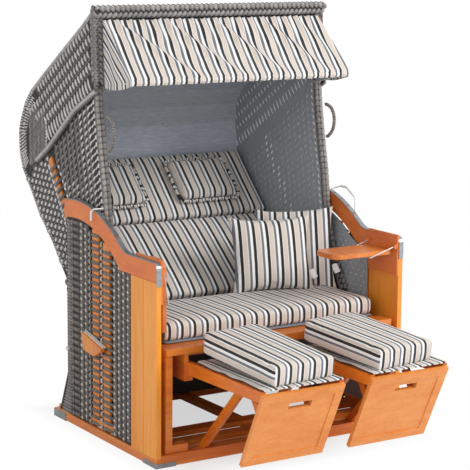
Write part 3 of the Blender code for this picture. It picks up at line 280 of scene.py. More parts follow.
def zinc(name, low, high, metal=0.85):
    """Spangled metal or, with no metal, a pale coating."""
    mat, tree, shader = blank(name)
    use = put(tree, "ShaderNodeGroup", node_tree=spangle)
    tree.links.new(spot(tree), use.inputs["Place"])
    tree.links.new(mixed(tree, use.outputs["Shade"], paint(low), paint(high)),
                   shader.inputs["Base Color"])
    tree.links.new(use.outputs["Roughness"], shader.inputs["Roughness"])
    shader.inputs["Metallic"].default_value = metal
    return mat


galvanised = zinc("galvanised sheet", "7F868A", "D2D7DA")
wire = zinc("bright wire", "B9BDC0", "F2F4F5")
clothe(galvanised, "arm_strip_left", "arm_strip_right", "corner_plate_front_left",
       "corner_plate_front_right", "corner_plate_rear_left", "corner_plate_rear_right")
clothe(wire, "tray_stay_left", "tray_stay_right", "awning_bow")
enamel = zinc("white coating", "DADAD6", "F6F6F2", metal=0.0)
clothe(enamel, "lock_bail_left", "lock_bail_right", "pivot_bolt_left", "pivot_bolt_right")

# Woven sides of the box
# Flat synthetic strand, dark grey-brown and slightly glossy, woven over upright stakes. Two
# windows in each side are left open, and the orange posts show between the strands there.
Y0 = -0.3581            # from the chair's front line to the middle of its footprint
ROW = 0.02628           # one woven row
COLUMN = 0.0345         # one stake to the next
SKIN = 0.5402           # outer face of the board that backs the side weave


def socket_id(tree, name):
    """The identifier of a tree's named input."""
    return next(s.identifier for s in tree.interface.items_tree
                if s.item_type == "SOCKET" and s.in_out == "INPUT" and s.name == name)


strand_tree = bpy.data.node_groups.new("woven strands", "GeometryNodeTree")
for label, kind, value in (("Geometry", "Geometry", None), ("Along", "Int", 6),
                           ("Across", "Int", 3), ("Taper", "Float", 0.35),
                           ("Thickness", "Float", 0.9), ("Material", "Material", None)):
    socket = strand_tree.interface.new_socket(label, in_out="INPUT",
                                              socket_type="NodeSocket" + kind)
    if value is not None:
        socket.default_value = value
strand_tree.interface.new_socket("Geometry", in_out="OUTPUT", socket_type="NodeSocketGeometry")
st = strand_tree.nodes.new("NodeGroupInput").outputs
box = put(strand_tree, "GeometryNodeMeshCube", {"Size": (1, 1, 1), "Vertices X": st["Along"],
                                                "Vertices Y": st["Across"], "Vertices Z": 2})
at = put(strand_tree, "ShaderNodeSeparateXYZ",
         {0: put(strand_tree, "GeometryNodeInputPosition").outputs[0]}).outputs
lengthways = maths(strand_tree, "MULTIPLY", at[0], 2.0)
sideways = maths(strand_tree, "MULTIPLY", at[1], 2.0)
kept = box.outputs["Mesh"]
for label, value in (("lengthways", lengthways), ("sideways", sideways)):
    kept = put(strand_tree, "GeometryNodeStoreNamedAttribute",
               {"Geometry": kept, "Name": label, "Value": value}, data_type="FLOAT",
               domain="POINT").outputs["Geometry"]
far = maths(strand_tree, "POWER", maths(strand_tree, "ABSOLUTE", lengthways), 2.6)
arch = maths(strand_tree, "SUBTRACT", 1.0, maths(strand_tree, "MULTIPLY", far, 1.5))
crown = maths(strand_tree, "MULTIPLY", maths(strand_tree, "POWER", sideways, 2.0), 0.55)
depth = maths(strand_tree, "MULTIPLY", maths(strand_tree, "SUBTRACT", at[2], 0.5), st["Thickness"])
height = maths(strand_tree, "ADD", maths(strand_tree, "SUBTRACT", arch, crown), depth)
narrow = maths(strand_tree, "SUBTRACT", 1.0, maths(strand_tree, "MULTIPLY", far, st["Taper"]))
shaped = put(strand_tree, "ShaderNodeCombineXYZ",
             {0: at[0], 1: maths(strand_tree, "MULTIPLY", at[1], narrow), 2: height})
moved = put(strand_tree, "GeometryNodeSetPosition", {"Geometry": kept,
                                                     "Position": shaped.outputs[0]})


def named(tree, label):
    """A vector that each strand's point carries."""
    return put(tree, "GeometryNodeInputNamedAttribute", {"Name": label},
               data_type="FLOAT_VECTOR").outputs["Attribute"]


turned = put(strand_tree, "FunctionNodeAxesToRotation",
             {"Primary Axis": named(strand_tree, "out"),
              "Secondary Axis": named(strand_tree, "along")},
             primary_axis="Z", secondary_axis="X")
laid = put(strand_tree, "GeometryNodeInstanceOnPoints",
           {"Points": st["Geometry"], "Instance": moved.outputs["Geometry"],
            "Rotation": turned.outputs[0], "Scale": named(strand_tree, "reach")})
real = put(strand_tree, "GeometryNodeRealizeInstances", {"Geometry": laid.outputs[0]})
faced = put(strand_tree, "GeometryNodeSetMaterial", {"Geometry": real.outputs[0],
                                                     "Material": st["Material"]})
soft = put(strand_tree, "GeometryNodeSetShadeSmooth", {"Geometry": faced.outputs[0]})
put(strand_tree, "NodeGroupOutput", {0: soft.outputs[0]})

glossy_strand, gs = group("glossy strand", [("Tone", "Float", 0.3), ("Lengthways", "Float", 0.0),
                                            ("Sideways", "Float", 0.0), ("Place", "Vector", None),
                                            ("Dark", "Color", paint("2E2A28")),
                                            ("Middle", "Color", paint("6B6460")),
                                            ("Pale", "Color", paint("E8E6E2"))],
                          [("Color", "Color"), ("Roughness", "Float"), ("Height", "Float")])
# tones near 1 take the Pale colour: a painted highlight that stands for the glints on the glossy
# strand
shade = mixed(glossy_strand, spread(glossy_strand, gs["Tone"], 0.0, 0.5), gs["Dark"], gs["Middle"])
shade = mixed(glossy_strand, spread(glossy_strand, gs["Tone"], 0.5, 1.0), shade, gs["Pale"])
cloud = noise(glossy_strand, gs["Place"], 60.0, 3.0)
# strands are darkened towards their ends: painted shade where each dives under its neighbours, on
# top of the cloud's real random tone
ends = maths(glossy_strand, "POWER", maths(glossy_strand, "ABSOLUTE", gs["Lengthways"]), 3.0)
mottle_and_end_shade = maths(glossy_strand, "SUBTRACT", maths(glossy_strand, "MULTIPLY_ADD", cloud, 0.5, 0.78),
             maths(glossy_strand, "MULTIPLY", ends, 0.55))
shade = dimmed(glossy_strand, shade, mottle_and_end_shade)
rib = maths(glossy_strand, "SINE", maths(glossy_strand, "MULTIPLY", gs["Sideways"], 19.0))
out = put(glossy_strand, "NodeGroupOutput")
glossy_strand.links.new(shade, out.inputs["Color"])
glossy_strand.links.new(maths(glossy_strand, "MULTIPLY_ADD", cloud, 0.25, 0.2),
                        out.inputs["Roughness"])
glossy_strand.links.new(rib, out.inputs["Height"])


def strand_look(name, dark, middle, pale):
    """Wicker strand that reads each strand's tone and its own length and width."""
    mat, tree, shader = blank(name)
    use = put(tree, "ShaderNodeGroup", node_tree=glossy_strand)
    for label, key in (("tone", "Tone"), ("lengthways", "Lengthways"), ("sideways", "Sideways")):
        tree.links.new(put(tree, "ShaderNodeAttribute", attribute_name=label).outputs["Fac"],
                       use.inputs[key])
    tree.links.new(spot(tree), use.inputs["Place"])
    for key, code in (("Dark", dark), ("Middle", middle), ("Pale", pale)):
        use.inputs[key].default_value = paint(code)
    tree.links.new(use.outputs["Color"], shader.inputs["Base Color"])
    tree.links.new(use.outputs["Roughness"], shader.inputs["Roughness"])
    raised(tree, shader, use.outputs["Height"], 0.25, 0.0006)
    shader.inputs["Specular IOR Level"].default_value = 0.6
    return mat


wicker = strand_look("grey wicker strand", "2B2725", "756D67", "D6D0C9")
chance = np.random.default_rng(11)


def on_body(name, mesh, body, stands_for=()):
    """A finished mesh that rides on a body and may stand for CAD nodes."""
    mesh.name = name
    piece = bpy.data.objects.new(name, mesh)
    bpy.context.scene.collection.objects.link(piece)
    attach(piece, body)
    if stands_for:
        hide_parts(*stands_for)
    return piece


def outward_faces(mesh):
    """Turns a closed mesh's faces outward."""
    bm = bmesh.new()
    bm.from_mesh(mesh)
    bmesh.ops.recalc_face_normals(bm, faces=bm.faces)
    bm.to_mesh(mesh)
    bm.free()


def rounded(name, verts, faces, mat, body):
    """A smooth closed piece from points and faces."""
    mesh = bpy.data.meshes.new(name)
    mesh.from_pydata([tuple(v) for v in verts], [], faces)
    mesh.materials.append(mat)
    mesh.shade_smooth()
    return on_body(name, mesh, body)


def tube_faces(rings, sides, closed=False):
    """Faces of a tube of rings, joined end to end or capped at both ends."""
    faces = []
    for k in range(rings if closed else rings - 1):
        here, there = k * sides, (k + 1) % rings * sides
        for j in range(sides):
            q = (j + 1) % sides
            faces.append((here + j, here + q, there + q, there + j))
    if not closed:
        faces.append(tuple(range(sides))[::-1])
        faces.append(tuple((rings - 1) * sides + j for j in range(sides)))
    return faces


def plain_mesh(ob):
    """The object's mesh with its modifiers applied; the object goes."""
    bpy.context.view_layer.update()
    mesh = bpy.data.meshes.new_from_object(ob.evaluated_get(bpy.context.evaluated_depsgraph_get()))
    bpy.data.objects.remove(ob)
    return mesh


def weave(name, strands, body, stands_for=(), along=6, taper=0.35, mat=wicker):
    """Lays strands: each is (place, direction, outward, length, width, rise, tone)."""
    mesh = bpy.data.meshes.new(name + " places")
    mesh.from_pydata([tuple(s[0]) for s in strands], [], [])
    for label, values in (("along", [tuple(s[1]) for s in strands]),
                          ("out", [tuple(s[2]) for s in strands]),
                          ("reach", [(s[3], s[4], s[5]) for s in strands])):
        mesh.attributes.new(label, "FLOAT_VECTOR", "POINT").data.foreach_set(
            "vector", np.array(values, dtype=np.float32).ravel())
    tones = np.array([s[6] for s in strands], dtype=np.float32)
    tones = np.clip(tones + chance.uniform(-0.07, 0.07, len(tones)), 0, 1).astype(np.float32)
    mesh.attributes.new("tone", "FLOAT", "POINT").data.foreach_set("value", tones)
    ob = bpy.data.objects.new(name + " places", mesh)
    bpy.context.scene.collection.objects.link(ob)
    mod = ob.modifiers.new("strands", "NODES")
    mod.node_group = strand_tree
    for label, value in (("Along", along), ("Across", 3), ("Taper", taper), ("Material", mat)):
        mod[socket_id(strand_tree, label)] = value
    on_body(name, plain_mesh(ob), body, stands_for)


def inside(outline, y, z):
    """True if a point lies in a closed outline of (y, z) points."""
    hit = False
    for (y0, z0), (y1, z1) in zip(outline, outline[1:] + outline[:1]):
        if (z0 > z) != (z1 > z) and y < (y1 - y0) * (z - z0) / (z1 - z0) + y0:
            hit = not hit
    return hit


def slab(name, outline, x0, x1, mat, body):
    """Closed plate between two x planes from a (y, z) outline, in drawing coordinates."""
    bm = bmesh.new()
    lower = [bm.verts.new((x0, y + Y0, z)) for y, z in outline]
    upper = [bm.verts.new((x1, y + Y0, z)) for y, z in outline]
    bm.faces.new(lower)
    bm.faces.new(upper[::-1])
    for i in range(len(lower)):
        j = (i + 1) % len(lower)
        bm.faces.new((lower[i], upper[i], upper[j], lower[j]))
    bmesh.ops.recalc_face_normals(bm, faces=bm.faces)
    mesh = bpy.data.meshes.new(name)
    bm.to_mesh(mesh)
    bm.free()
    mesh.materials.append(mat)
    on_body(name, mesh, body)


# A dark checker sheet behind and under the strands: painted shade for the gaps in the weave and the
# box's inside seen through them. It also fills the cores of the rope, braids, trim and loops.
backing, bt, shader = blank("shadowed backing weave")
check = put(bt, "ShaderNodeTexChecker", {"Vector": spot(bt), "Color1": paint("1A1817"),
                                         "Color2": paint("2E2A28"), "Scale": 110.0})
bt.links.new(check.outputs[0], shader.inputs["Base Color"])
shader.inputs["Roughness"].default_value = 0.6

ARM_Y, ARM_Z, ARM_R = 0.623, 0.329, 0.4995      # underside arc of the arm board


def arm_underside(y):
    """Height of the arm board's underside over the side weave."""
    flat = 0.685
    if y <= 0.245:
        return flat
    return max(flat, ARM_Z + math.sqrt(max(ARM_R ** 2 - (y - ARM_Y) ** 2, 0)))


REAR_EDGE, FOOT_EDGE = 0.7193, 0.79     # rear edge of the side weave, and where it meets the floor
FLARE_Z = 0.2


def rear_edge(z):
    """Rear edge of the side weave, which flares towards the floor."""
    if z > FLARE_Z:
        return REAR_EDGE
    return REAR_EDGE + (FOOT_EDGE - REAR_EDGE) * ((FLARE_Z - z) / 0.1657) ** 1.4


def side_outline(y0, y1):
    """Part of a side panel between two columns."""
    foot, steps = 0.0345, 9
    top = [(y0 + (y1 - y0) * k / steps, arm_underside(y0 + (y1 - y0) * k / steps) - 0.0008)
           for k in range(steps + 1)]
    if y1 > 0.7:
        return [(y0, foot), (0.789, foot), (0.755, 0.1165), (REAR_EDGE, FLARE_Z)] + top[::-1]
    return [(y0, foot), (y1, foot)] + top[::-1]


for side, word in ((-1, "left"), (1, "right")):
    out_x = Vector((side, 0, 0))
    strands = []

    def lay(y, z, dy, dz, length, width, rise, tone, x=SKIN):
        strands.append(((side * x, y + Y0, z), (0, dy, dz), out_x, length, width, rise, tone))

    for k in range(-3, 30):
        z = 0.7682 + ROW / 2 - k * ROW
        if z < 0.042:
            break
        for half in (0, 1):
            zz = z - half * ROW / 2
            if arm_underside(0.69) - 0.006 > zz:
                end = rear_edge(zz)
                lay((end + 0.6725) / 2, zz, 1, 0, end - 0.6725 + 0.006, 0.0125, 0.0045, 0.5)
        if arm_underside(0.644) - 0.006 > z:
            lay(0.644, z, 1, 0, 0.058, 0.0142, 0.0045, 0.42)
        for y, length in ((0.4925, 0.086), (0.3880, 0.108)):
            if min(arm_underside(y - length / 3), arm_underside(y + length / 3)) - 0.006 > z:
                lay(y, z, 1, 0, length, 0.0125, 0.005, 0.36, x=SKIN - 0.002)
        for y0, count in ((0.5905, 2), (0.325, 5)):
            for j in range(count):
                y = y0 - j * COLUMN
                if count == 5 and y < 0.2:
                    continue
                for half in (0, 1):
                    zz = z - half * ROW / 2
                    if arm_underside(y) - 0.008 < zz or zz < 0.045:
                        continue
                    over = (j + half) % 2
                    if over:
                        lay(y, zz, 1, 0, COLUMN * 1.12, 0.0118, 0.005, 0.38)
                    else:
                        # the pale diagonal is a painted highlight on the crossing strand
                        lay(y + 0.004, zz, -0.26, -1, ROW * 0.78, 0.0058, 0.0062, 0.93)
                        lay(y - 0.008, zz, 0.1, -1, ROW * 0.8, 0.008, 0.0035, 0.3)
        # upright stakes; the paler ones paint the highlights along their edges
        for y, width, tone in ((0.670, 0.005, 0.6), (0.619, 0.005, 0.45), (0.603, 0.004, 0.5),
                               (0.5285, 0.005, 0.72), (0.4335, 0.0055, 0.86), (0.3355, 0.005, 0.4)):
            if arm_underside(y) - 0.016 > z:
                lay(y, z, 0, 1, ROW * 1.04, width, 0.0062, tone)
    for name, y0, y1 in (("front", 0.1875, 0.335), ("rear", 0.53, REAR_EDGE)):
        slab("side_backing_%s_%s" % (name, word), side_outline(y0, y1), side * 0.5375,
             side * SKIN, backing, "base")
    # behind the windows a dark sheet paints the shade inside the box
    slab("side_painted_shade_%s" % word, side_outline(0.335, 0.53), side * 0.5235, side * 0.5255, backing,
         "base")
    weave("side_weave_" + word, strands, "base", ("woven_side_" + word,))
clothe(backing, "woven_rear")

# Woven rear of the box
# The same dark strand as the sides, woven over upright stakes without windows. It stops where the
# hood's seat back comes down when it is reclined, and it is narrower above, between its walls.
REAR_HEAD, REAR_NECK = 0.487, 0.265     # top of the weave, and where it gets narrower
NECK_HALF = 0.474


def flare(z):
    """Face of the rear weave, which leans out towards the floor."""
    return 0.7216 + (0.0 if z > FLARE_Z else 0.07 * ((FLARE_Z - z) / 0.1657) ** 1.4)


strands = []
for k in range(22):
    for half in (0, 1):
        zz = 0.056 + (k + half / 2) * ROW
        for j in range(30):
            x = -0.4985 + j * COLUMN
            if zz > REAR_HEAD or (zz > REAR_NECK and abs(x) > NECK_HALF - COLUMN / 2):
                continue
            place, rearward = (x, flare(zz) + Y0, zz), (0, 1, 0)
            if (j + half) % 2:
                strands.append((place, (1, 0, 0), rearward, COLUMN * 1.12, 0.0118, 0.005, 0.38))
            else:
                strands.append((place, (0.2, 0, 1), rearward, ROW * 0.78, 0.006, 0.006, 0.8))
slab("rear_head", [(0.7056, 0.4155), (REAR_EDGE, 0.4155), (REAR_EDGE, REAR_HEAD),
                   (0.7056, REAR_HEAD)], -NECK_HALF, NECK_HALF, backing, "base")
kick = [(flare(z) - 0.004, z) for z in (FLARE_Z, 0.1165, 0.0455)]
slab("rear_kick", kick + [(y - 0.004, z) for y, z in kick[::-1]], -0.53, 0.53, backing, "base")
weave("rear_weave", strands, "base")

# Hood: outer weave, rope and rims
# The same strand, woven over a frame bent from round poles. Long floats run up from the rope that
# divides each side, a twill fills the front corner, and plain weave covers the low rear.
HOOD_DEPTH, HOOD_HEIGHT = 1.191, 1.638


def scaled(shares):
    """Shares of the hood's depth and height as metres."""
    return [(y * HOOD_DEPTH, z * HOOD_HEIGHT) for y, z in shares]


BACK = scaled([(0.4634, .9860), (0.5365, .950), (0.645, .9017), (0.729, .8632), (0.816, .8242),
               (0.905, .782), (0.949, .751), (0.986, .7045), (1.0, .677), (0.996, .6197),
               (0.973, .5824), (0.9144, .5379), (0.8455, .4799), (0.743, .417), (0.671, .3614)])
FRONT = scaled([(.449, .975), (.441, .8547), (.430, .757), (.409, .6655), (.3846, .58),
                (.371, .5067), (.355, .4396), (.334, .3907), (.302, .348), (.262, .3016)])
FOOT = scaled([(.272, .278), (.504, .269), (.564, .2015)])
ROPE = scaled([(.436, .8028), (.5676, .7552), (.758, .6538), (.852, .6123)])
SLATS = scaled([(.751, .6267), (.611, .482)])
HOOD_X = 0.5165         # outer face of the hood's side weave
FLOAT_PITCH = 0.0263    # one long float above the rope to the next
FLOAT_FIRST, FLOAT_LOW, FLOAT_ROW = 0.048, 0.105, 0.044     # their rows' heights over the rope


def walk(line, step, start=0.0):
    """Points every step metres along a polyline, with the direction there."""
    found, left = [], start
    for (y0, z0), (y1, z1) in zip(line, line[1:]):
        size = math.hypot(y1 - y0, z1 - z0)
        d = ((y1 - y0) / size, (z1 - z0) / size)
        while left <= size:
            found.append(((y0 + d[0] * left, z0 + d[1] * left), d))
            left += step
        left -= size
    return found


def reach(line, z):
    """The y of a steep polyline at one height."""
    for (y0, z0), (y1, z1) in zip(line, line[1:]):
        if min(z0, z1) <= z <= max(z0, z1):
            return y0 + (y1 - y0) * (z - z0) / (z1 - z0)
    return line[-1][0] if abs(z - line[-1][1]) < abs(z - line[0][1]) else line[0][0]


def above(line, y):
    """The height of a polyline at one y, carried on past its ends."""
    for (y0, z0), (y1, z1) in zip(line, line[1:]):
        if y <= y1 or (y1, z1) == line[-1]:
            return z0 + (z1 - z0) * (y - y0) / (y1 - y0)


def apart(line, y, z):
    """Distance from a point to a polyline."""
    best = 9.0
    for (y0, z0), (y1, z1) in zip(line, line[1:]):
        dy, dz = y1 - y0, z1 - z0
        f = min(max(((y - y0) * dy + (z - z0) * dz) / (dy * dy + dz * dz), 0), 1)
        best = min(best, math.hypot(y - y0 - dy * f, z - z0 - dz * f))
    return best


WALL = BACK + FOOT[::-1] + FRONT[::-1]
ALONG = Vector((0.848, -0.529))     # down the rope, and square to it
UP = Vector((0.529, 0.848))


def slat_line(z, shift=0.0):
    """The line of the orange slats at one height, moved rearward by shift."""
    (y0, z0), (y1, z1) = SLATS
    return y0 + (y1 - y0) * (z - z0) / (z1 - z0) + shift


hood_wicker = strand_look("hood strand", "211E1D", "6E6966", "DDDAD7")
for side, word in ((-1, "left"), (1, "right")):
    out_x = Vector((side, 0, 0))
    strands = []

    def lay(y, z, dy, dz, length, width, rise, tone, x=HOOD_X):
        strands.append(((side * x, y + Y0, z), (0, dy, dz), out_x, length, width, rise, tone))

    def clear(y, z, margin=0.012):
        return inside(WALL, y, z) and apart(WALL + WALL[:1], y, z) > margin

    # front corner below the rope
    for k in range(52):
        z = 1.36 - k * ROW
        front = reach(FRONT, z)
        if z < 0.50:
            break
        if z < above(ROPE, front) - 0.02:
            lay(front + 0.0175, z, 0.1, 1, 0.024, 0.0072, 0.005, 1.0)
            lay(front + 0.034, z - 0.012, -0.75, 0.66, 0.030, 0.0062, 0.0045, 0.97)
        for j in range(14):
            y = front + 0.062 + 0.036 * j
            zz = z + (0.5 * ROW if j % 2 else 0.0) - 0.006 * j
            rear = slat_line(zz, -0.05) if zz > 0.74 else slat_line(0.74, -0.05)
            if y > rear or zz > above(ROPE, y) - 0.03 or not clear(y, zz, 0.02):
                continue
            # the pale floats paint the strands' highlights; away from the front edge and high up
            # they are dimmer
            painted_glint_tone = 1.0 if j < 3 or zz < 0.95 else 0.62
            lay(y, zz, -0.62, 0.78, 0.036, 0.0066, 0.0055, painted_glint_tone)
            lay(y + 0.016, zz + 0.004, 0.58, 0.81, 0.034, 0.0155, 0.0035, 0.36)
            lay(y + 0.010, zz - 0.012, 0.75, 0.66, 0.026, 0.009, 0.003, 0.44)
    # light knots and the dark strands that cross the orange slats
    for k in range(22):
        z = 1.0 - k * ROW
        y = slat_line(z, -0.047)
        if z > 0.72:
            lay(y, z, 0.45, 0.89, 0.022, 0.0085, 0.006, 0.96)
            lay(y + 0.012, z + 0.013, 0.66, 0.75, 0.026, 0.010, 0.004, 0.45)
        if 0.745 < z < 1.01:
            lay(slat_line(z - 0.010) - 0.006, z - 0.010, -0.80, 0.60, 0.062, 0.0145, 0.005, 0.3,
                x=HOOD_X + 0.0095)
            lay(slat_line(z) + 0.022, z - 0.012, -0.3, 0.95, 0.022, 0.0085, 0.006, 1.0,
                x=HOOD_X + 0.006)
    # low rear behind the slats, where the pale floats paint the strands' highlights
    for k in range(40):
        z = 1.10 - k * ROW
        for j in range(28):
            y = 0.30 + 0.034 * j + (0.017 if k % 2 else 0.0) + 0.002 * (k % 3)
            if z < 0.50 and y < 0.60:
                continue
            edge = slat_line(z, 0.036) if z > 0.76 else slat_line(0.76, 0.036) - (0.76 - z) * 1.4
            if y < edge or z > above(ROPE, y) - 0.02 or not clear(y, z, 0.015) or z < 0.36:
                continue
            lay(y, z, -0.3, 0.95, 0.025, 0.0092, 0.006, 1.0)
            lay(y + 0.017, z, 0.2, 0.98, 0.026, 0.0125, 0.0038, 0.34)
            lay(y + 0.004, z + 0.013, 1, -0.3, 0.026, 0.0065, 0.0035, 0.42)
    # long floats and ribs above the rope; the pale long floats paint the strands' highlights
    base = Vector(ROPE[0])
    for m in range(-16, 34):
        for n in range(0, 14):
            t = m * FLOAT_PITCH + (FLOAT_PITCH / 2 if n % 2 else 0.0)
            h = FLOAT_FIRST if n == 0 else FLOAT_LOW + FLOAT_ROW * (n - 1)
            p = base + ALONG * t + UP * h
            if not clear(p.x, p.y, 0.020):
                continue
            if p.x > 0.86 and apart(BACK[5:11], p.x, p.y) < 0.062:
                continue
            if p.y > 1.34 and p.x - reach(FRONT, p.y) < 0.030:
                continue
            if p.x > 0.940 and p.y < 1.17:
                continue
            length = 0.074 if n == 0 else 0.042
            lay(p.x, p.y, UP.x, UP.y, length, 0.0072, 0.006, 1.0 if n < 2 else 0.9)
            q = p + ALONG * FLOAT_PITCH / 2
            lay(q.x, q.y, UP.x, UP.y, length * (0.72 if n == 0 else 0.8), 0.0095, 0.003,
                0.25 if n == 0 else 0.36)
            if n:
                q = p - UP * 0.022
                lay(q.x, q.y, ALONG.x, ALONG.y, 0.030, 0.009, 0.0045, 0.40)
    # floats wrapped over the rear rim
    for step, (inset, tone) in enumerate(((0.012, 0.95), (0.036, 1.0), (0.058, 0.8))):
        for (y, z), d in walk(BACK[5:11], 0.0135, 0.004 * step):
            ny, nz = -d[1], d[0]
            if ny * (0.8 - y) + nz * (0.8 - z) < 0:
                ny, nz = -ny, -nz
            lay(y + ny * inset, z + nz * inset, ny * 0.8 - d[0] * 0.5, nz * 0.8 - d[1] * 0.5,
                0.030, 0.006, 0.006, tone)
    # plain rows along the upper and lower rear edges
    for (y, z), d in walk(BACK[:6], 0.0135) + walk(BACK[10:], 0.0135):
        ny, nz = -d[1], d[0]
        if ny * (0.7 - y) + nz * (0.9 - z) < 0:
            ny, nz = -ny, -nz
        lay(y + ny * 0.010, z + nz * 0.010, ny * 0.9 + d[0] * 0.3, nz * 0.9 + d[1] * 0.3,
            0.024, 0.0088, 0.006, 0.72)
    # upright strands between the rear rim and the twill, and the pale strand that borders them
    for k in range(22):
        z = 1.20 - 0.0125 * k
        for j in range(12):
            y = 0.945 + 0.0125 * j + (0.006 if k % 2 else 0)
            if apart(BACK, y, z) < 0.066 or not inside(WALL, y, z) or z < above(ROPE, y) + 0.014:
                continue
            lay(y, z, -0.12, 0.99, 0.030, 0.0105, 0.0035, 0.42 + 0.06 * (j % 3))
    for (y, z), d in walk([(0.936, 1.175), (0.931, 1.12), (0.938, 1.065)], 0.014):
        lay(y, z, d[0] * 0.9 + 0.3, d[1], 0.020, 0.0065, 0.007, 0.9)
    weave("hood_weave_" + word, strands, "hood", ("hood_band_" + word,), mat=hood_wicker)

    rope = []
    for (y, z), d in walk([(ROPE[0][0] - 0.01, above(ROPE, ROPE[0][0] - 0.01))] + ROPE, 0.0118):
        # the rope's crest is painted lightest and its underside darkest: painted highlight and
        # painted shade
        for roll, push in ((0, 0.012), (1, 0.007), (-1, 0.007)):
            n = Vector((side * 0.7, -d[1] * roll * 0.7, d[0] * roll * 0.7)).normalized()
            p = Vector((side * (HOOD_X + push), y + Y0 - d[1] * roll * 0.0075,
                        z + d[0] * roll * 0.0075))
            along = Vector((side * -0.6 * roll, d[0] * 0.62 - d[1], d[1] * 0.62 + d[0]))
            rope.append((p, along.normalized(), n, 0.0200, 0.0105, 0.0060,
                         0.78 if roll == 0 else 0.6 if roll > 0 else 0.4))
    weave("rope_" + word, rope, "hood", mat=hood_wicker)
    core = [(y + 0.003, z - 0.0075) for y, z in ROPE]
    core += [(y + 0.003, z + 0.0075) for y, z in ROPE[::-1]]
    slab("rope_core_" + word, core, side * HOOD_X, side * (HOOD_X + 0.0105), backing, "hood")
clothe(backing, "hood_wall_left", "hood_wall_right", "hood_shell", "hood_border")

# Hood: braided top and sides, wound edge trim and loops
# A fat herringbone braid closes the top and the upper front edges. Below it the front edges are
# wound with pale flat strand, and a wound loop hangs inside each of them as a handle.
trim_strand = strand_look("pale trim strand", "2E2B29", "6C6864", "A5A19C")
braid_strand = strand_look("braid strand", "2C2A2A", "86827F", "E6E4E2")
BRAID_WIDE = 0.0145
LOOP_X, LOOP_Y, LOOP_R = 0.50, Y0 + 0.012, 0.0058
LOOP_SIDES, LOOP_STEPS = 12, 6


BRAID_PITCH = 0.0215


def herringbone(strands, line, face, half, width, rise, tone):
    """Two leaning rows of floats along a line of 3-D points, on the side that face points to."""
    face = Vector(face)
    left = BRAID_PITCH / 2
    for a, b in zip(line, line[1:]):
        a, b = Vector(a), Vector(b)
        run = (b - a).normalized()
        cross = face.cross(run).normalized()
        while left < (b - a).length:
            for way in (-1, 1):
                p = a + run * (left + (BRAID_PITCH / 2 if way > 0 else 0)) + cross * half * way
                d = (run * 0.8 + cross * way * -0.62).normalized()
                strands.append((p, d, face, BRAID_PITCH * 1.65, width, rise, tone))
            left += BRAID_PITCH
        left -= (b - a).length


strands = []
for y, z, face, half, rise, tone in ((0.513, 1.6155, (0, -1, 0), 0.0115, 0.007, 0.5),
                                     (0.5335, 1.634, (0, 0, 1), 0.0105, 0.006, 0.75),
                                     (0.553, 1.6155, (0, 1, 0), 0.0115, 0.006, 0.5)):
    herringbone(strands, [(-0.512, y + Y0, z), (0.512, y + Y0, z)], face, half, BRAID_WIDE, rise,
                tone)
for side in (-1, 1):
    herringbone(strands, [(side * 0.5165, 0.5335 + Y0, 1.600), (side * 0.5165, 0.5335 + Y0, 1.622)],
                (side, 0, 0), 0.010, BRAID_WIDE, 0.006, 0.5)
weave("top_braid", strands, "hood", ("hood_border",), mat=braid_strand)
slab("top_braid_core", [(0.516, 1.592), (0.5505, 1.592), (0.5505, 1.6345), (0.516, 1.6345)],
     -0.5145, 0.5145, backing, "hood")

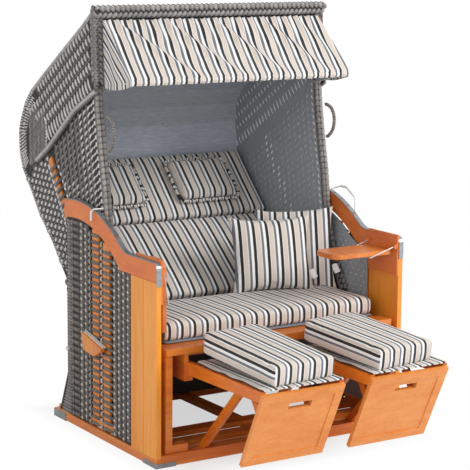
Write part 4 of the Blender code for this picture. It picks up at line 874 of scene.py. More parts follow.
for side, word in ((-1, "left"), (1, "right")):
    strands, pale = [], []
    line = [(side * 0.501, reach(FRONT, z) - 0.013 + Y0, z) for z in (1.345, 1.40, 1.597)]
    face = (0, -1, 0.05)
    herringbone(strands, line, Vector(face).normalized(), 0.0085, 0.0125, 0.006, 0.45)
    line = [(side * 0.5165, reach(FRONT, z) + 0.004 + Y0, z) for z in (1.345, 1.40, 1.612)]
    herringbone(strands, line, (side, 0, 0), 0.0095, BRAID_WIDE, 0.006, 0.5)
    line = [(side * 0.4855, reach(FRONT, z) + 0.001 + Y0, z) for z in (1.345, 1.40, 1.60)]
    herringbone(strands, line, (-side, 0, 0), 0.0095, BRAID_WIDE, 0.005, 0.4)
    weave("side_braid_" + word, strands, "hood", mat=braid_strand)
    upper = [(reach(FRONT, z), z) for z in (1.34, 1.40, 1.592)]
    slab("side_braid_core_" + word, [(y - 0.0115, z) for y, z in upper]
         + [(y + 0.0115, z) for y, z in upper[::-1]], side * 0.4865, side * 0.5155, backing, "hood")

    low = [(y, z) for y, z in FRONT if z < 1.34]
    low = [(reach(FRONT, 1.342), 1.342)] + low
    for (y, z), d in walk(low, 0.023):
        n = Vector((0, -abs(d[1]), d[0])).normalized()
        if n.y > 0:
            n = -n
        for x, tone in ((0.4925, 0.55), (0.5095, 0.85)):
            pale.append(((side * x, y + Y0 + 0.0012, z), (0, d[0], d[1]), n, 0.034, 0.0155, 0.0035,
                         tone))
        for x, face, tone in ((0.5158, side, 0.55), (0.4866, -side, 0.5)):
            pale.append(((side * x, y + Y0 + 0.006, z), (0, d[0], d[1]), (face, 0, 0), 0.036,
                         0.0105, 0.003, tone))
    weave("edge_trim_" + word, pale, "hood", mat=trim_strand, taper=0.15)
    slab("edge_core_" + word, [(y + 0.0008, z) for y, z in low]
         + [(y + 0.0117, z) for y, z in low[::-1]], side * 0.487, side * 0.5155, backing, "hood")

    # the handle's loop: a smooth curve through seven points, a core and strand wound round it
    loop = scaled([(.377, .7525), (.369, .752), (.342, .743), (.3275, .7204), (.3345, .6935),
                   (.359, .676), (.368, .6745)])
    smooth_loop = []
    for k in range(len(loop) - 1):
        a = Vector(loop[max(k - 1, 0)])
        b, c = Vector(loop[k]), Vector(loop[k + 1])
        e = Vector(loop[min(k + 2, len(loop) - 1)])
        for step in range(LOOP_STEPS):
            t = step / LOOP_STEPS
            smooth_loop.append(0.5 * (2 * b + (c - a) * t + (2 * a - 5 * b + 4 * c - e) * t * t
                                      + (3 * b - a - 3 * c + e) * t ** 3))
    smooth_loop.append(Vector(loop[-1]))
    verts, count = [], len(smooth_loop)
    for k, p in enumerate(smooth_loop):
        d = (smooth_loop[min(k + 1, count - 1)] - smooth_loop[max(k - 1, 0)]).normalized()
        n = Vector((-d.y, d.x))
        for j in range(LOOP_SIDES):
            a = math.tau * j / LOOP_SIDES
            verts.append((side * LOOP_X + LOOP_R * math.sin(a),
                          p.x + n.x * LOOP_R * math.cos(a) + LOOP_Y,
                          p.y + n.y * LOOP_R * math.cos(a)))
    outward_faces(rounded("loop_core_" + word, verts, tube_faces(count, LOOP_SIDES), backing,
                          "hood").data)
    wound = []
    for (y, z), d in walk([tuple(p) for p in smooth_loop], 0.0105):
        n = (-d[1], d[0])
        for j in range(5):
            a = math.tau * (j + 0.5) / 5
            face = Vector((math.sin(a), n[0] * math.cos(a), n[1] * math.cos(a)))
            run = Vector((0, d[0], d[1]))
            turn = face.cross(run) * 0.9 + run * 0.45
            shift = 0.0021 * (j - 2)
            middle = Vector((side * LOOP_X, y + LOOP_Y, z))
            wound.append((middle + run * shift + face * 0.0056, turn, face, 0.0092, 0.0098,
                          0.0013, 0.62 + 0.2 * (j % 2)))
    weave("loop_" + word, wound, "hood", ("loop_handle_" + word,), mat=trim_strand, taper=0.1)

# Hood: rear and roof
# Twill over the bent rear frame, in the same strand as the sides. It runs in three stretches: the
# roof, the bend at the rear and the low part under it.
TWILL, TWILL_ROW = 0.036, 0.0265        # one float to the next, across and along
for part, (first, last) in (("roof", (0, 5)), ("bend", (5, 10)), ("low", (10, 14))):
    strands = []
    line = BACK[first:last + 1]
    for k, ((y, z), d) in enumerate(walk(line, TWILL_ROW, 0.012)):
        n = Vector((0, -d[1], d[0]))
        if n.y * (y - 0.7) + n.z * (z - 1.0) < 0:
            n = -n
        run = Vector((0, d[0], d[1]))
        half = 0.483 if part != "low" else 0.47
        for j in range(int(2 * half / TWILL) + 1):
            x = -half + TWILL * j + (TWILL / 2 if k % 2 else 0)
            if x > half:
                continue
            p = Vector((x, y + Y0, z)) - n * 0.001
            strands.append((p, run * 0.94 + Vector((0.34, 0, 0)), n, 0.036, 0.0095, 0.006, 0.8))
            strands.append((p + Vector((TWILL / 2, 0, 0)), run * 0.9 + Vector((-0.43, 0, 0)), n,
                            0.034, 0.0135, 0.0035, 0.36))
    weave("hood_rear_" + part, strands, "hood", along=5, mat=hood_wicker)

# Hood: inner walls and lining
# Inside, the weave shows its flatter face: slate grey with short pale dashes in rows, which are
# painted highlights on the strands. The back and the roof are lined with two plain slate sheets that
# meet at a crease held by small studs.
slate, tree, shader = blank("slate lining sheet")
where = spot(tree)
flat_grain = put(tree, "ShaderNodeMapping", {"Vector": where, "Scale": (0.16, 1, 1)})
streaks = noise(tree, flat_grain.outputs[0], 170.0, 3.0)
upper = spread(tree, put(tree, "ShaderNodeSeparateXYZ", {0: where}).outputs[2], 1.100, 1.104)
panel = dimmed(tree, mixed(tree, upper, paint("BFC5D0"), paint("B4BAC2")),
               spread(tree, streaks, 0.35, 0.72, 0.90, 1.16))
tree.links.new(panel, shader.inputs["Base Color"])
shader.inputs["Roughness"].default_value = 0.55
raised(tree, shader, streaks, 0.15, 0.001)
clothe(slate, "hood_lining")

slab("lining_skirt", [(1.1062, 0.9975), (1.1030, 0.9615), (1.1054, 0.9615), (1.1086, 0.9975)],
     -0.4845, 0.4845, slate, "hood")

inner_strand = strand_look("inner face strand", "7C8084", "A9ADB1", "FBFCFC")
inner_face, tree, shader = blank("inner wall weave")
tipped = put(tree, "ShaderNodeMapping", {"Vector": spot(tree), "Scale": (1, 1, 0.35),
                                         "Rotation": (math.radians(-50), 0, 0)})
ribs = noise(tree, tipped.outputs[0], 95.0)
tree.links.new(mixed(tree, ribs, paint("868B90"), paint("AFB3B7")), shader.inputs["Base Color"])
shader.inputs["Roughness"].default_value = 0.5
raised(tree, shader, ribs, 0.3, 0.001)
INNER_X = 0.4857        # inner face of the hood's side walls
for side, word in ((-1, "left"), (1, "right")):
    face = Vector((-side, 0, 0))
    panel_line = scaled([(.449, .975), (.441, .8547), (.430, .757), (.409, .6655), (.3846, .58),
                         (.371, .5067), (.36, .47), (.60, .38), (.87, .53), (.96, .6), (.97, .68),
                         (.93, .745), (.81, .81), (.645, .885), (.5365, .935)])
    panel_line = [(y + 0.013, z) if k < 7 else (y, z) for k, (y, z) in enumerate(panel_line)]
    slab("inner_wall_" + word, panel_line, side * (INNER_X - 0.0006), side * (INNER_X + 0.0003),
         inner_face, "hood")
    dashes = []

    def dash(y, z, dy, dz, length, width, tone, rise=0.0028):
        dashes.append(((side * (INNER_X - 0.0008), y + Y0, z), (0, dy, dz), face, length, width,
                       rise, tone))

    for m in range(-16, 34):
        for n in range(0, 13):
            t = m * FLOAT_PITCH + (FLOAT_PITCH / 2 if n % 2 else 0.0)
            h = FLOAT_FIRST if n == 0 else FLOAT_LOW + FLOAT_ROW * (n - 1)
            p = Vector(ROPE[0]) + ALONG * t + UP * h
            if inside(panel_line, p.x, p.y) and apart(panel_line + panel_line[:1], p.x, p.y) > 0.02:
                dash(p.x, p.y, UP.x, UP.y, 0.046 if n == 0 else 0.024, 0.0054, 1.0 - 0.03 * n)
                dash(p.x + 0.013, p.y - 0.012, UP.x, UP.y, 0.022, 0.008, 0.3, 0.002)
    for k in range(40):
        z = 1.36 - k * ROW
        front = reach(FRONT, z) + 0.026
        if z > 0.60:
            dash(front, z, 0.55, 0.83, 0.022, 0.0048, 0.92)
        for j in range(15):
            y = front + 0.036 + 0.036 * j
            zz = z + (0.5 * ROW if j % 2 else 0) - 0.006 * j
            if zz > above(ROPE, y) - 0.03 or zz < 0.6 or not inside(panel_line, y, zz):
                continue
            near = abs(y - slat_line(zz, -0.03)) < 0.03
            dash(y, zz, -0.62, 0.78, 0.026, 0.0038 if not near else 0.0066, 1.0 if near else 0.62,
                 0.0018 if not near else 0.0026)
    weave("inner_weave_" + word, dashes, "hood", mat=inner_strand)

    # the base's own side, lined the same way where it shows between the hood and the front board
    lined = [(y, max(z, 0.06)) for y, z in side_outline(0.190, 0.700)]
    slab("side_lining_" + word, lined, side * 0.5228, side * 0.5234, inner_face, "base")
    dashes = []
    for k in range(22):
        for j in range(9):
            y, z = 0.21 + 0.036 * j + (0.018 if k % 2 else 0), 0.46 + 0.021 * k
            if z < arm_underside(y) - 0.03:
                dashes.append(((side * 0.5224, y + Y0, z), (0, -0.85, 0.52), face, 0.017, 0.0034,
                               0.0012, 0.75 if k % 5 else 0.95))
    weave("side_lining_weave_" + word, dashes, "base", mat=inner_strand)


STUD_SIDES = 14


def studs(name, places, mat, body):
    """Small domed steel heads: each is (place, outward, radius, rise)."""
    verts, faces = [], []
    for place, outward, radius, rise in places:
        outward = Vector(outward).normalized()
        aside = outward.orthogonal().normalized()
        third = outward.cross(aside)
        base = len(verts)
        for r, h in ((1.0, -0.25), (1.0, 0.25), (0.72, 0.8)):
            for j in range(STUD_SIDES):
                a = math.tau * j / STUD_SIDES
                spoke = aside * math.cos(a) + third * math.sin(a)
                verts.append(Vector(place) + spoke * radius * r + outward * rise * h)
        verts.append(Vector(place) + outward * rise)
        for ring in (base, base + STUD_SIDES):
            for j in range(STUD_SIDES):
                q = (j + 1) % STUD_SIDES
                faces.append((ring + j, ring + q, ring + STUD_SIDES + q, ring + STUD_SIDES + j))
        last, tip = base + 2 * STUD_SIDES, base + 3 * STUD_SIDES
        for j in range(STUD_SIDES):
            faces.append((last + j, last + (j + 1) % STUD_SIDES, tip))
        faces.append(tuple(base + j for j in range(STUD_SIDES))[::-1])
    rounded(name, verts, faces, mat, body)


bright = zinc("bright screw", "C9CCCE", "F4F5F6")
lining_out = Vector((0, -1, 0.05))
studs("lining_studs", [((x, 1.1165 + Y0, 1.105), lining_out, 0.0065, 0.004)
                       for x in (-0.44, -0.15, 0.13, 0.44)], bright, "hood")

# Striped cloth
# A plain woven cotton blend in wide beige, slate grey, white and thin charcoal stripes, 54 mm
# from one repeat to the next. Every cover and the awning are cut from it.
PERIOD = 0.054
stripes, ss = group("woven stripes", [("Across", "Float", 0.0), ("Place", "Vector", None)],
                    [("Color", "Color"), ("Height", "Float")])
wander = noise(stripes, ss["Place"], 26.0, 1.0)
shifted = maths(stripes, "ADD", ss["Across"], maths(stripes, "MULTIPLY", maths(
    stripes, "SUBTRACT", wander, 0.5), 0.0016))
cycle = maths(stripes, "FRACT", maths(stripes, "MULTIPLY", shifted, 1 / PERIOD))
ramp = put(stripes, "ShaderNodeValToRGB", {"Fac": cycle})
marks = ((0.0, "EFEBE6"), (0.03, "E6DED6"), (0.055, "D6CABF"), (0.335, "D6CABF"),
         (0.36, "E8E2DB"), (0.395, "F1EFEC"), (0.41, "73767D"), (0.575, "73767D"),
         (0.59, "F4F4F3"), (0.765, "F4F4F3"), (0.78, "211F1F"), (0.985, "211F1F"),
         (1.0, "EFEBE6"))
band = ramp.color_ramp
while len(band.elements) < len(marks):
    band.elements.new(0.5)
for element, (at_share, code) in zip(band.elements, marks):
    element.position = at_share
for element, (at_share, code) in zip(band.elements, marks):
    element.color = paint(code)
warp = noise(stripes, ss["Place"], 900.0, 1.0)
blotch = noise(stripes, ss["Place"], 7.0)
tint = maths(stripes, "ADD", maths(stripes, "MULTIPLY_ADD", warp, 0.16, 0.87),
             maths(stripes, "MULTIPLY", blotch, 0.08))
out = put(stripes, "NodeGroupOutput")
stripes.links.new(dimmed(stripes, ramp.outputs[0], tint), out.inputs["Color"])
stripes.links.new(warp, out.inputs["Height"])


def striped(name):
    """Cloth whose stripes run where the piece's own attribute says."""
    mat, tree, shader = blank(name)
    use = put(tree, "ShaderNodeGroup", node_tree=stripes)
    tree.links.new(put(tree, "ShaderNodeAttribute", attribute_name="across").outputs["Fac"],
                   use.inputs["Across"])
    tree.links.new(spot(tree), use.inputs["Place"])
    tree.links.new(use.outputs["Color"], shader.inputs["Base Color"])
    raised(tree, shader, use.outputs["Height"], 0.25, 0.0004)
    shader.inputs["Roughness"].default_value = 0.85
    shader.inputs["Sheen Weight"].default_value = 0.15
    shader.inputs["Sheen Roughness"].default_value = 0.5
    return mat


cover = striped("striped cover")


def striped_round(mesh, values):
    """Gives a roll of cloth its stripes, one value for each point."""
    mesh.attributes.new("across", "FLOAT", "POINT").data.foreach_set(
        "value", np.array(values, dtype=np.float32))
    outward_faces(mesh)


def block_cover(half, edge, step, crown=0.0, corners=(0, 0, 0, 0)):
    """Rounded box of even quads about the origin; corners are plan radii, rear right first."""
    counts = [max(4, round(2 * h / step)) for h in half]
    verts, faces, seen = [], [], {}

    def vertex(p):
        key = tuple(round(c, 6) for c in p)
        if key not in seen:
            seen[key] = len(verts)
            verts.append(p)
        return seen[key]

    for axis in range(3):
        i, j = (axis + 1) % 3, (axis + 2) % 3
        for side in (-1, 1):
            for a in range(counts[i]):
                for b in range(counts[j]):
                    ring = []
                    for da, db in ((0, 0), (1, 0), (1, 1), (0, 1)):
                        p = [0.0, 0.0, 0.0]
                        p[axis] = side * half[axis]
                        p[i] = half[i] * (2 * (a + da) / counts[i] - 1)
                        p[j] = half[j] * (2 * (b + db) / counts[j] - 1)
                        ring.append(vertex(p))
                    faces.append(ring if side > 0 else ring[::-1])
    co = np.array(verts)
    box = np.array(half)
    core = np.clip(co, -(box - edge), box - edge)
    away = co - core
    size = np.linalg.norm(away, axis=1, keepdims=True)
    co = core + away / np.maximum(size, 1e-9) * edge
    for radius, sx, sy in zip(corners, (1, -1, -1, 1), (1, 1, -1, -1)):
        if radius:
            dx = co[:, 0] * sx - (half[0] - radius)
            dy = co[:, 1] * sy - (half[1] - radius)
            there = (dx > 0) & (dy > 0)
            pull = np.where(there, np.maximum(dx, dy) / np.maximum(np.hypot(dx, dy), 1e-9), 1)
            co[:, 0] = np.where(there, sx * (half[0] - radius + dx * pull), co[:, 0])
            co[:, 1] = np.where(there, sy * (half[1] - radius + dy * pull), co[:, 1])
    share = co / box
    dome = np.clip(1 - share[:, 0] ** 4, 0, 1) * np.clip(1 - share[:, 1] ** 4, 0, 1)
    co[:, 2] += crown * np.clip(share[:, 2], 0, 1) * dome
    return co, faces


def pillow_cover(half_x, half_y, thick, step):
    """Two sheets sewn at a knife edge, whose sides draw in between the corners."""
    nx, ny = round(2 * half_x / step), round(2 * half_y / step)
    pinch = 0.05        # share by which a side draws in at its middle
    verts, faces, at = [], [], {}
    for face in (1, -1):
        for i in range(nx + 1):
            for j in range(ny + 1):
                u, v = 2 * i / nx - 1, 2 * j / ny - 1
                rim = i in (0, nx) or j in (0, ny)
                if face < 0 and rim:
                    at[face, i, j] = at[1, i, j]
                    continue
                x = half_x * u * (1 - pinch * (1 - v * v))
                y = half_y * v * (1 - pinch * (1 - u * u))
                full = max(0.0, (1 - abs(u) ** 3.0) * (1 - abs(v) ** 3.0)) ** 0.62
                at[face, i, j] = len(verts)
                verts.append((x, y, face * (thick / 2 * full + (0 if rim else 0.0008))))
    for face in (1, -1):
        for i in range(nx):
            for j in range(ny):
                ring = [at[face, i + a, j + b] for a, b in ((0, 0), (1, 0), (1, 1), (0, 1))]
                faces.append(ring if face > 0 else ring[::-1])
    return np.array(verts), faces


CLOTH_FRAMES = 20


def swollen(co, faces, cap, press=4.0, spare=0.02, bend=0.3):
    """Blows a closed cover up as cloth with a little spare, by at most cap, and subdivides it."""
    fine = bpy.data.meshes.new("cover")
    fine.from_pydata([tuple(p) for p in co], [], faces)
    ob = bpy.data.objects.new("cover", fine)
    bpy.context.scene.collection.objects.link(ob)
    cloth = ob.modifiers.new("cloth", "CLOTH")
    cloth.settings.quality = 4
    cloth.settings.mass = 0.25
    cloth.settings.use_pressure = True
    cloth.settings.uniform_pressure_force = press
    cloth.settings.tension_stiffness = 14
    cloth.settings.compression_stiffness = 14
    cloth.settings.bending_stiffness = bend
    cloth.settings.shrink_min = -spare
    cloth.settings.effector_weights.gravity = 0
    cloth.collision_settings.use_collision = False
    cloth.point_cache.frame_start = 1
    cloth.point_cache.frame_end = CLOTH_FRAMES
    for f in range(1, CLOTH_FRAMES + 1):
        bpy.context.scene.frame_set(f)
    shown = ob.evaluated_get(bpy.context.evaluated_depsgraph_get())
    end = np.array([v.co for v in shown.data.vertices])
    ob.modifiers.clear()
    bpy.context.scene.frame_set(1)
    move = end - co
    size = np.linalg.norm(move, axis=1, keepdims=True)
    move *= np.tanh(size / cap) * cap / np.maximum(size, 1e-9)
    fine.vertices.foreach_set("co", (co + move).ravel())
    fine.update()
    finer = ob.modifiers.new("finer", "SUBSURF")
    finer.levels = finer.render_levels = 1
    return plain_mesh(ob)


def dressed(name, mesh, place, ex, ey, body, stands_for, shift=0.0, gusset=None, mat=cover,
            settle=None):
    """Stripes a cover in its own frame, puts it in place and hands it to its body.

    gusset is (axis, offset): faces turned along x take their stripes along that axis instead.
    """
    co = np.empty(len(mesh.vertices) * 3)
    mesh.vertices.foreach_get("co", co)
    co = co.reshape(-1, 3)
    loops = np.empty(len(mesh.loops), dtype=np.int64)
    mesh.loops.foreach_get("vertex_index", loops)
    stripes_at = co[loops, 0] + shift
    if gusset is not None:
        axis, offset = gusset
        turned = np.array([abs(p.normal.x) > 0.7 for p in mesh.polygons])
        totals = np.array([p.loop_total for p in mesh.polygons])
        stripes_at = np.where(np.repeat(turned, totals), co[loops, axis] + offset, stripes_at)
    mesh.attributes.new("across", "FLOAT", "CORNER").data.foreach_set(
        "value", (stripes_at + 20 * PERIOD).astype(np.float32))
    if settle is not None:
        co = settle(co)
    ex, ey = Vector(ex).normalized(), Vector(ey).normalized()
    axes = np.array([ex, ey, ex.cross(ey)])
    mesh.vertices.foreach_set("co", (co @ axes + np.array(place)).ravel())
    mesh.materials.clear()
    mesh.materials.append(mat)
    mesh.shade_smooth()
    on_body(name, mesh, body, (stands_for,) if stands_for else ())


# Seat cushion
# One foam cushion across the seat, crowned, with rounded edges, in a striped cover. Under it lies
# a thin dark base cloth, which shows as a line along the front.
co, faces = block_cover((0.4725, 0.1895, 0.0315), 0.019, 0.0085, crown=0.004)
dressed("seat_cover", swollen(co, faces, 0.0055), (0, 0.2645 + Y0, 0.4760), (1, 0, 0), (0, 1, 0),
        "base", "seat_cushion", shift=0.010)
base_cloth, tree, shader = blank("dark base cloth")
felt = noise(tree, spot(tree), 240.0)
tree.links.new(mixed(tree, felt, paint("6F747C"), paint("8C919A")), shader.inputs["Base Color"])
shader.inputs["Roughness"].default_value = 0.9
co, faces = block_cover((0.4700, 0.1880, 0.0045), 0.004, 0.02)
dressed("seat_base", swollen(co, faces, 0.0005), (0, 0.2645 + Y0, 0.4405), (1, 0, 0), (0, 1, 0),
        "base", None, mat=base_cloth)

# Footrest cushions
# Loose box cushions whose side strips are cut lengthwise, so their stripes run along the side.
# Each stands up a little at the rear, on a thin flap of the same cloth.
for side, word, turn, shift in ((-1, "left", 5.5, -0.006), (1, "right", 8.5, -0.0305)):
    turn, lift = math.radians(turn), math.radians(5.5)
    front = -0.4748 + 0.139 * math.sin(turn) + 0.078 * math.sin(lift)
    rear = 0.0037 - 0.139 * math.sin(turn)
    ey = Vector((-math.sin(turn) * math.cos(lift), math.cos(turn) * math.cos(lift), math.sin(lift)))
    ex = Vector((math.cos(turn), math.sin(turn), 0))
    low = Vector((side * 0.2312 + shift, (front + rear) / 2 + Y0,
                  0.3765 + (rear - front) / 2 * math.sin(lift)))
    co, faces = block_cover((0.1370, (rear - front) / 2 - 0.002, 0.0365), 0.0105, 0.0065,
                            crown=0.004, corners=(0.04, 0.04, 0, 0))
    dressed("footrest_cover_" + word, swollen(co, faces, 0.0045), low + ex.cross(ey) * 0.0405,
            ex, ey, "base", "footrest_cushion_" + word, shift=0.004, gusset=(2, 0.030))
    co, faces = block_cover((0.1695, 0.2340, 0.0030), 0.0028, 0.012, corners=(0.045, 0.045, 0, 0))

    def rumpled(points):
        """Lifts and waves the flap's free side."""
        points = points.copy()
        out = np.clip(np.abs(points[:, 0]) / 0.1695 - 0.7, 0, 1) / 0.3
        wave = np.sin(points[:, 1] * 31 + 2 * np.sin(points[:, 1] * 11))
        points[:, 2] += out * (0.0025 + 0.0022 * wave)
        return points

    dressed("footrest_flap_" + word, swollen(co, faces, 0.0005),
            (side * 0.2312, -0.2385 + Y0, 0.3795), (1, 0, 0), (0, 1, 0), "base", None,
            shift=0.004, settle=rumpled)

# Back cushions
# Two foam cushions in striped covers, fastened to the hood's seat back one above the other, edge
# to edge. They recline with the hood.
SEAM = Vector((0, 0.83 + Y0, 0.755))
LOW_END = Vector((0, 0.51 + Y0, 0.505))
HIGH_END = Vector((0, 1.07 + Y0, 0.99))
for word, a, b in (("lower", LOW_END, SEAM), ("upper", SEAM, HIGH_END)):
    way = (b - a).normalized()
    outward = Vector((1, 0, 0)).cross(way)
    co, faces = block_cover((0.4695, (b - a).length / 2 - 0.0015, 0.0235), 0.014, 0.0085,
                            crown=0.003)
    dressed("back_cover_" + word, swollen(co, faces, 0.0045), (a + b) / 2 - outward * 0.0255,
            (1, 0, 0), way, "hood", "back_cushion_" + word, shift=0.016)

# Neck pads
# Two soft pads hung on the upper cushion. Their edges are gathered on elastic, which draws the
# cover in and leaves a ruffle all round.
HIGH_WAY = (HIGH_END - SEAM).normalized()
front_of = Vector((1, 0, 0)).cross(HIGH_WAY)


def ruffle(name, middle, half_x, half_y, corner, body):
    """A roll of gathered cloth round the edge of a pad."""
    path, around = [], 10
    for quarter, (sx, sy) in enumerate(((1, 1), (-1, 1), (-1, -1), (1, -1))):
        for k in range(9):
            a = math.pi / 2 * (quarter + k / 8)
            path.append((sx * (half_x - corner) + corner * math.cos(a),
                         sy * (half_y - corner) + corner * math.sin(a)))
    line = [p for p, d in walk(path + path[:1], 0.0037)]
    verts, values = [], []
    for k, (x, y) in enumerate(line):
        away = Vector((x - max(min(x, half_x - corner), corner - half_x),
                       y - max(min(y, half_y - corner), corner - half_y))).normalized()
        swell = 0.62 + 0.38 * abs(math.sin(k * 0.93 + 1.7 * math.sin(k * 0.21)))
        lean = 0.0024 * math.sin(k * 0.71 + 2.0 * math.sin(k * 0.17))
        for j in range(around):
            a = math.tau * j / around
            out = lean + 0.0072 * swell * math.cos(a)
            verts.append(middle + Vector((1, 0, 0)) * (x + away.x * out)
                         + HIGH_WAY * (y + away.y * out)
                         + front_of * (0.0068 * swell * math.sin(a)))
            values.append(middle[0] + x * 1.7 + y * 0.9 + 0.3 * lean * math.sin(a) + 20 * PERIOD)
    faces = tube_faces(len(line), around, closed=True)
    striped_round(rounded(name, verts, faces, cover, body).data, values)


def drawn(points):
    """Puckers the edges that the elastic draws in."""
    run = np.maximum(np.abs(points[:, 1]) / 0.104, np.abs(points[:, 0]) / 0.141)
    pucker = np.clip((run - 0.70) / 0.30, 0, 1) ** 1.5
    wave = np.sin(points[:, 0] * 300 + points[:, 1] * 240 + 1.4 * np.sin(points[:, 0] * 61))
    points = points.copy()
    points[:, 2] += wave * pucker * 0.0026 * np.sign(points[:, 2])
    points[:, 2] *= 1 - 0.45 * pucker
    return points


for word, x in (("left", -0.24), ("right", 0.2025)):
    mid = SEAM + HIGH_WAY * (0.05 + 0.233 / 2) + front_of * 0.0275
    mid.x = x
    co, faces = block_cover((0.141, 0.104, 0.0150), 0.012, 0.006, crown=0.004,
                            corners=(0.03, 0.03, 0.03, 0.03))
    dressed("neck_cover_" + word, swollen(co, faces, 0.007, press=5.0, spare=0.04), mid, (1, 0, 0),
            HIGH_WAY, "hood", "neck_pad_" + word, shift=x + 0.043, settle=drawn)
    ruffle("neck_ruffle_" + word, mid - front_of * 0.003, 0.145, 0.108, 0.034, "hood")

# Loose pillows
# Two nearly square pillows with a knife-edge seam, leaning on the back and on each other, with a
# small blank tag sewn into one side.
tag_cloth, tree, shader = blank("blank tag")
weft = noise(tree, spot(tree), 500.0)
tree.links.new(mixed(tree, weft, paint("E4E4E4"), paint("FBFBFB")), shader.inputs["Base Color"])
shader.inputs["Roughness"].default_value = 0.8
for name, x, y, sink, turn, lean, w, h, t, roll in (
        ("front", 0.206, 0.405, 0.0035, -17.5, 16.0, 0.33, 0.30, 0.09, 0.5),
        ("rear", 0.344, 0.436, 0.0136, -32.0, 12.0, 0.31, 0.325, 0.055, 3.0)):
    turn, lean = math.radians(turn), math.radians(lean)
    ex = Vector((math.cos(turn), math.sin(turn), 0))
    flat = Vector((-math.sin(turn), math.cos(turn), 0))
    ey = flat * math.sin(lean) + Vector((0, 0, 1)) * math.cos(lean)
    mid = Vector((x, y + Y0, 0.5113 + h / 2 * math.cos(lean) - sink))
    roll = math.radians(roll)
    ex, ey = ex * math.cos(roll) + ey * math.sin(roll), ey * math.cos(roll) - ex * math.sin(roll)
    co, faces = pillow_cover(w / 2 + 0.004, h / 2 + 0.004, t * 0.85, 0.0058)

    def crinkled(points):
        """Waves the seam a little."""
        u, v = points[:, 0] / (w / 2), points[:, 1] / (h / 2)
        rim = np.clip((np.maximum(np.abs(u), np.abs(v)) - 0.86) / 0.14, 0, 1)
        wave = np.where(np.abs(u) > np.abs(v), np.sin(v * 17 + np.sin(v * 7)), np.sin(u * 19))
        points = points.copy()
        points[:, 2] += wave * rim * 0.0030
        return points

    dressed("pillow_cover_" + name, swollen(co, faces, t * 0.09, press=2.5, spare=0.05, bend=0.15),
            mid, ex, ey, "base", "pillow_" + name, shift=0.016, settle=crinkled)
    co, faces = block_cover((0.012, 0.019, 0.0007), 0.0006, 0.006)
    tilt = (ey - ex * 0.45).normalized()
    dressed("pillow_tag_" + name, swollen(co, faces, 0.0001),
            mid + ex * (w / 2 + 0.004) - ey * 0.085, (ex + ey * 0.45).normalized(), tilt, "base",
            None, mat=tag_cloth)

# Awning
# One striped sheet gathered under the top braid, drawn forward and down over the wire bow, with
# drag folds that run from the upper left to the lower right and a hem rolled round the bow.
TOP = Vector((0, 0.512 + Y0, 1.586))
KNEE = Vector((0, 0.2918 + Y0, 1.383))
HEM = Vector((0, 0.2918 + Y0, 1.357))
REAR_TOP = Vector((0, 0.512 + Y0, 1.580))
REAR_LOW = Vector((0, 0.503 + Y0, 1.335))
CLOTH_X = 0.4875
COLUMNS, ROWS, SIDE_COLUMNS = 300, 64, 30
fall = (HEM - TOP).normalized()
lift = Vector((1, 0, 0)).cross(fall)
if lift.z < 0:
    lift = -lift
front_run = (KNEE - TOP).length + (HEM - KNEE).length
FOLDS = ((-0.455, 0.30, 0.012), (-0.235, 0.27, 0.010), (-0.02, 0.25, 0.0085), (0.20, 0.22, 0.0075),
         (0.36, 0.15, 0.005))


def folds(x, v):
    """Height of the drag folds and how far they pull the stripes aside."""
    high, pulled = 0.0, 0.0
    for start, slope, size in FOLDS:
        d = x - (start + slope * v ** 1.15 + 0.012 * math.sin(5 * v))
        strong = size * math.sin(math.pi * min(1, v * 0.92 + 0.10)) ** 0.7
        high += strong * math.exp(-(d / 0.016) ** 2)
        high -= 0.55 * strong * math.exp(-((d + 0.040) / 0.030) ** 2)
        pulled += 0.011 * math.tanh(d / 0.020) * math.exp(-(d / 0.10) ** 2) * math.sin(math.pi * v)
    gather = 0.0032 * math.sin(x * math.tau / 0.027 + 0.9 * math.sin(23 * x)) * (1 - v) ** 1.6
    ripple = 0.0022 * math.sin(x * math.tau / 0.054) * v ** 3
    return high + gather + ripple, pulled


grid, values = [], []
for j in range(ROWS + 1):
    s = j / ROWS * front_run
    first = (KNEE - TOP).length
    if s <= first:
        p0 = TOP.lerp(KNEE, s / first)
    else:
        p0 = KNEE.lerp(HEM, (s - first) / (front_run - first))
    v = j / ROWS
    rear = REAR_TOP.lerp(REAR_LOW, v)
    row, marks_row = [], []
    for side in (-1, 1):
        part, part_marks = [], []
        depth = (rear - p0).length
        for i in range(SIDE_COLUMNS):
            f = i / SIDE_COLUMNS
            p = rear.lerp(p0, f)
            pleat = 0.004 * math.sin(f * 9 + v * 4) * math.sin(math.pi * f) * v
            part.append(Vector((side * (CLOTH_X - 0.001 + pleat), p.y, p.z - 0.012 * math.sin(
                math.pi * f) * v ** 3)))
            part_marks.append(side * (CLOTH_X + depth * (1 - f)) + 0.02 * side * v)
        if side < 0:
            row += part
            marks_row += part_marks
            for i in range(COLUMNS + 1):
                x = -CLOTH_X + 2 * CLOTH_X * i / COLUMNS
                high, pulled = folds(x, v)
                edge = 1 - abs(x / CLOTH_X) ** 14
                sag = 0.010 * (1 - (x / CLOTH_X) ** 2) * math.sin(math.pi * v)
                row.append(p0 + Vector((x, 0, 0)) + lift * ((high * edge if v < 0.97 else
                                                             high * edge * 0.5) - sag))
                marks_row.append(x + pulled * edge + 0.022 * v)
        else:
            row += part[::-1]
            marks_row += part_marks[::-1]
    grid.append(row)
    values.append(marks_row)
width = len(grid[0])
normals = []
for j in range(ROWS + 1):
    for i in range(width):
        du = grid[j][min(i + 1, width - 1)] - grid[j][max(i - 1, 0)]
        dv = grid[min(j + 1, ROWS)][i] - grid[max(j - 1, 0)][i]
        normals.append(du.cross(dv).normalized())
flat_points = [p for row in grid for p in row]
if sum(n.y for n in normals) > 0:
    normals = [-n for n in normals]
verts = [p + n * 0.0009 for p, n in zip(flat_points, normals)]
verts += [p - n * 0.0009 for p, n in zip(flat_points, normals)]
total = len(flat_points)
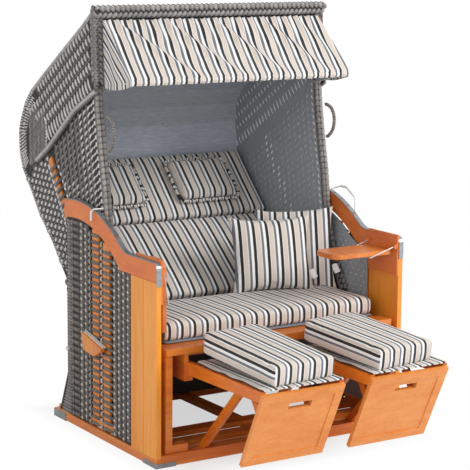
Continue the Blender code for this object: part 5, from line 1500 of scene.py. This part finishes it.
faces = []
for j in range(ROWS):
    for i in range(width - 1):
        a, b = j * width + i, j * width + i + 1
        c, d = b + width, a + width
        faces.append((a, d, c, b))
        faces.append((total + a, total + b, total + c, total + d))
rim = ([(i, i + 1) for i in range(width - 1)]
       + [((j + 1) * width - 1, (j + 2) * width - 1) for j in range(ROWS)]
       + [(ROWS * width + i + 1, ROWS * width + i) for i in range(width - 1)[::-1]]
       + [((j + 1) * width, j * width) for j in range(ROWS)[::-1]])
for a, b in rim:
    faces.append((a, b, total + b, total + a))
mesh = bpy.data.meshes.new("awning sheet")
mesh.from_pydata([tuple(v) for v in verts], [], faces)
outward_faces(mesh)
mesh.attributes.new("across", "FLOAT", "POINT").data.foreach_set("value", np.array(
    [m + 10 * PERIOD + 0.012 for row in values for m in row] * 2, dtype=np.float32))
mesh.materials.append(cover)
mesh.shade_smooth()
awning = bpy.data.objects.new("awning_sheet", mesh)
bpy.context.scene.collection.objects.link(awning)
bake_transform(awning)
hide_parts("awning_cloth")

# The hem's bead, drawn into a small roll at each stripe where it goes round the bow.
verts, values = [], []
STEPS, AROUND = 330, 14
for k in range(STEPS + 1):
    x = -CLOTH_X + 2 * CLOTH_X * k / STEPS
    roll = 0.0082 + 0.0019 * abs(math.sin(math.pi * (x + 0.006) / (PERIOD / 2)))
    for j in range(AROUND):
        a = math.tau * j / AROUND
        verts.append((x, 0.2960 + Y0 + roll * math.cos(a), 1.3695 + 1.15 * roll * math.sin(a)))
        values.append(x + 0.022 + 0.012 + 10 * PERIOD)
striped_round(rounded("awning_hem", verts, tube_faces(STEPS + 1, AROUND), cover, "bow").data, values)

# Fasteners, handle strips and small fittings
# Bright screws hold the footrest fronts and the tray mounts, and each carrying handle has a white
# strip along its sloped top.
down = Vector((0, 0.1355, -0.2828)).normalized()
outward = Vector((0, -0.2828, -0.1355)).normalized()
for word, xs in (("left", (-0.376, -0.087)), ("right", (0.087, 0.376))):
    places = []
    for x in xs:
        for d in (0.052, 0.262):
            p = Vector((x, -0.4748 + Y0, 0.3586)) + down * d + outward * -0.0028
            places.append((p, outward, 0.0042, 0.0016))
    studs("front_screws_" + word, places, bright, "footrest_" + word)
for side, word in ((-1, "left"), (1, "right")):
    studs("mount_screws_" + word,
          [((side * 0.5255, y + Y0, z), (-side, 0, 0), 0.0042, 0.002)
           for y, z in ((0.040, 0.735), (0.035, 0.611), (0.131, 0.613))], bright, "base")
    strip_line = [(0.546, 0.3990), (0.394, 0.3655), (0.394, 0.3688), (0.546, 0.4023)]
    slab("handle_strip_" + word, strip_line, side * 0.5430, side * 0.5585, enamel, "base")
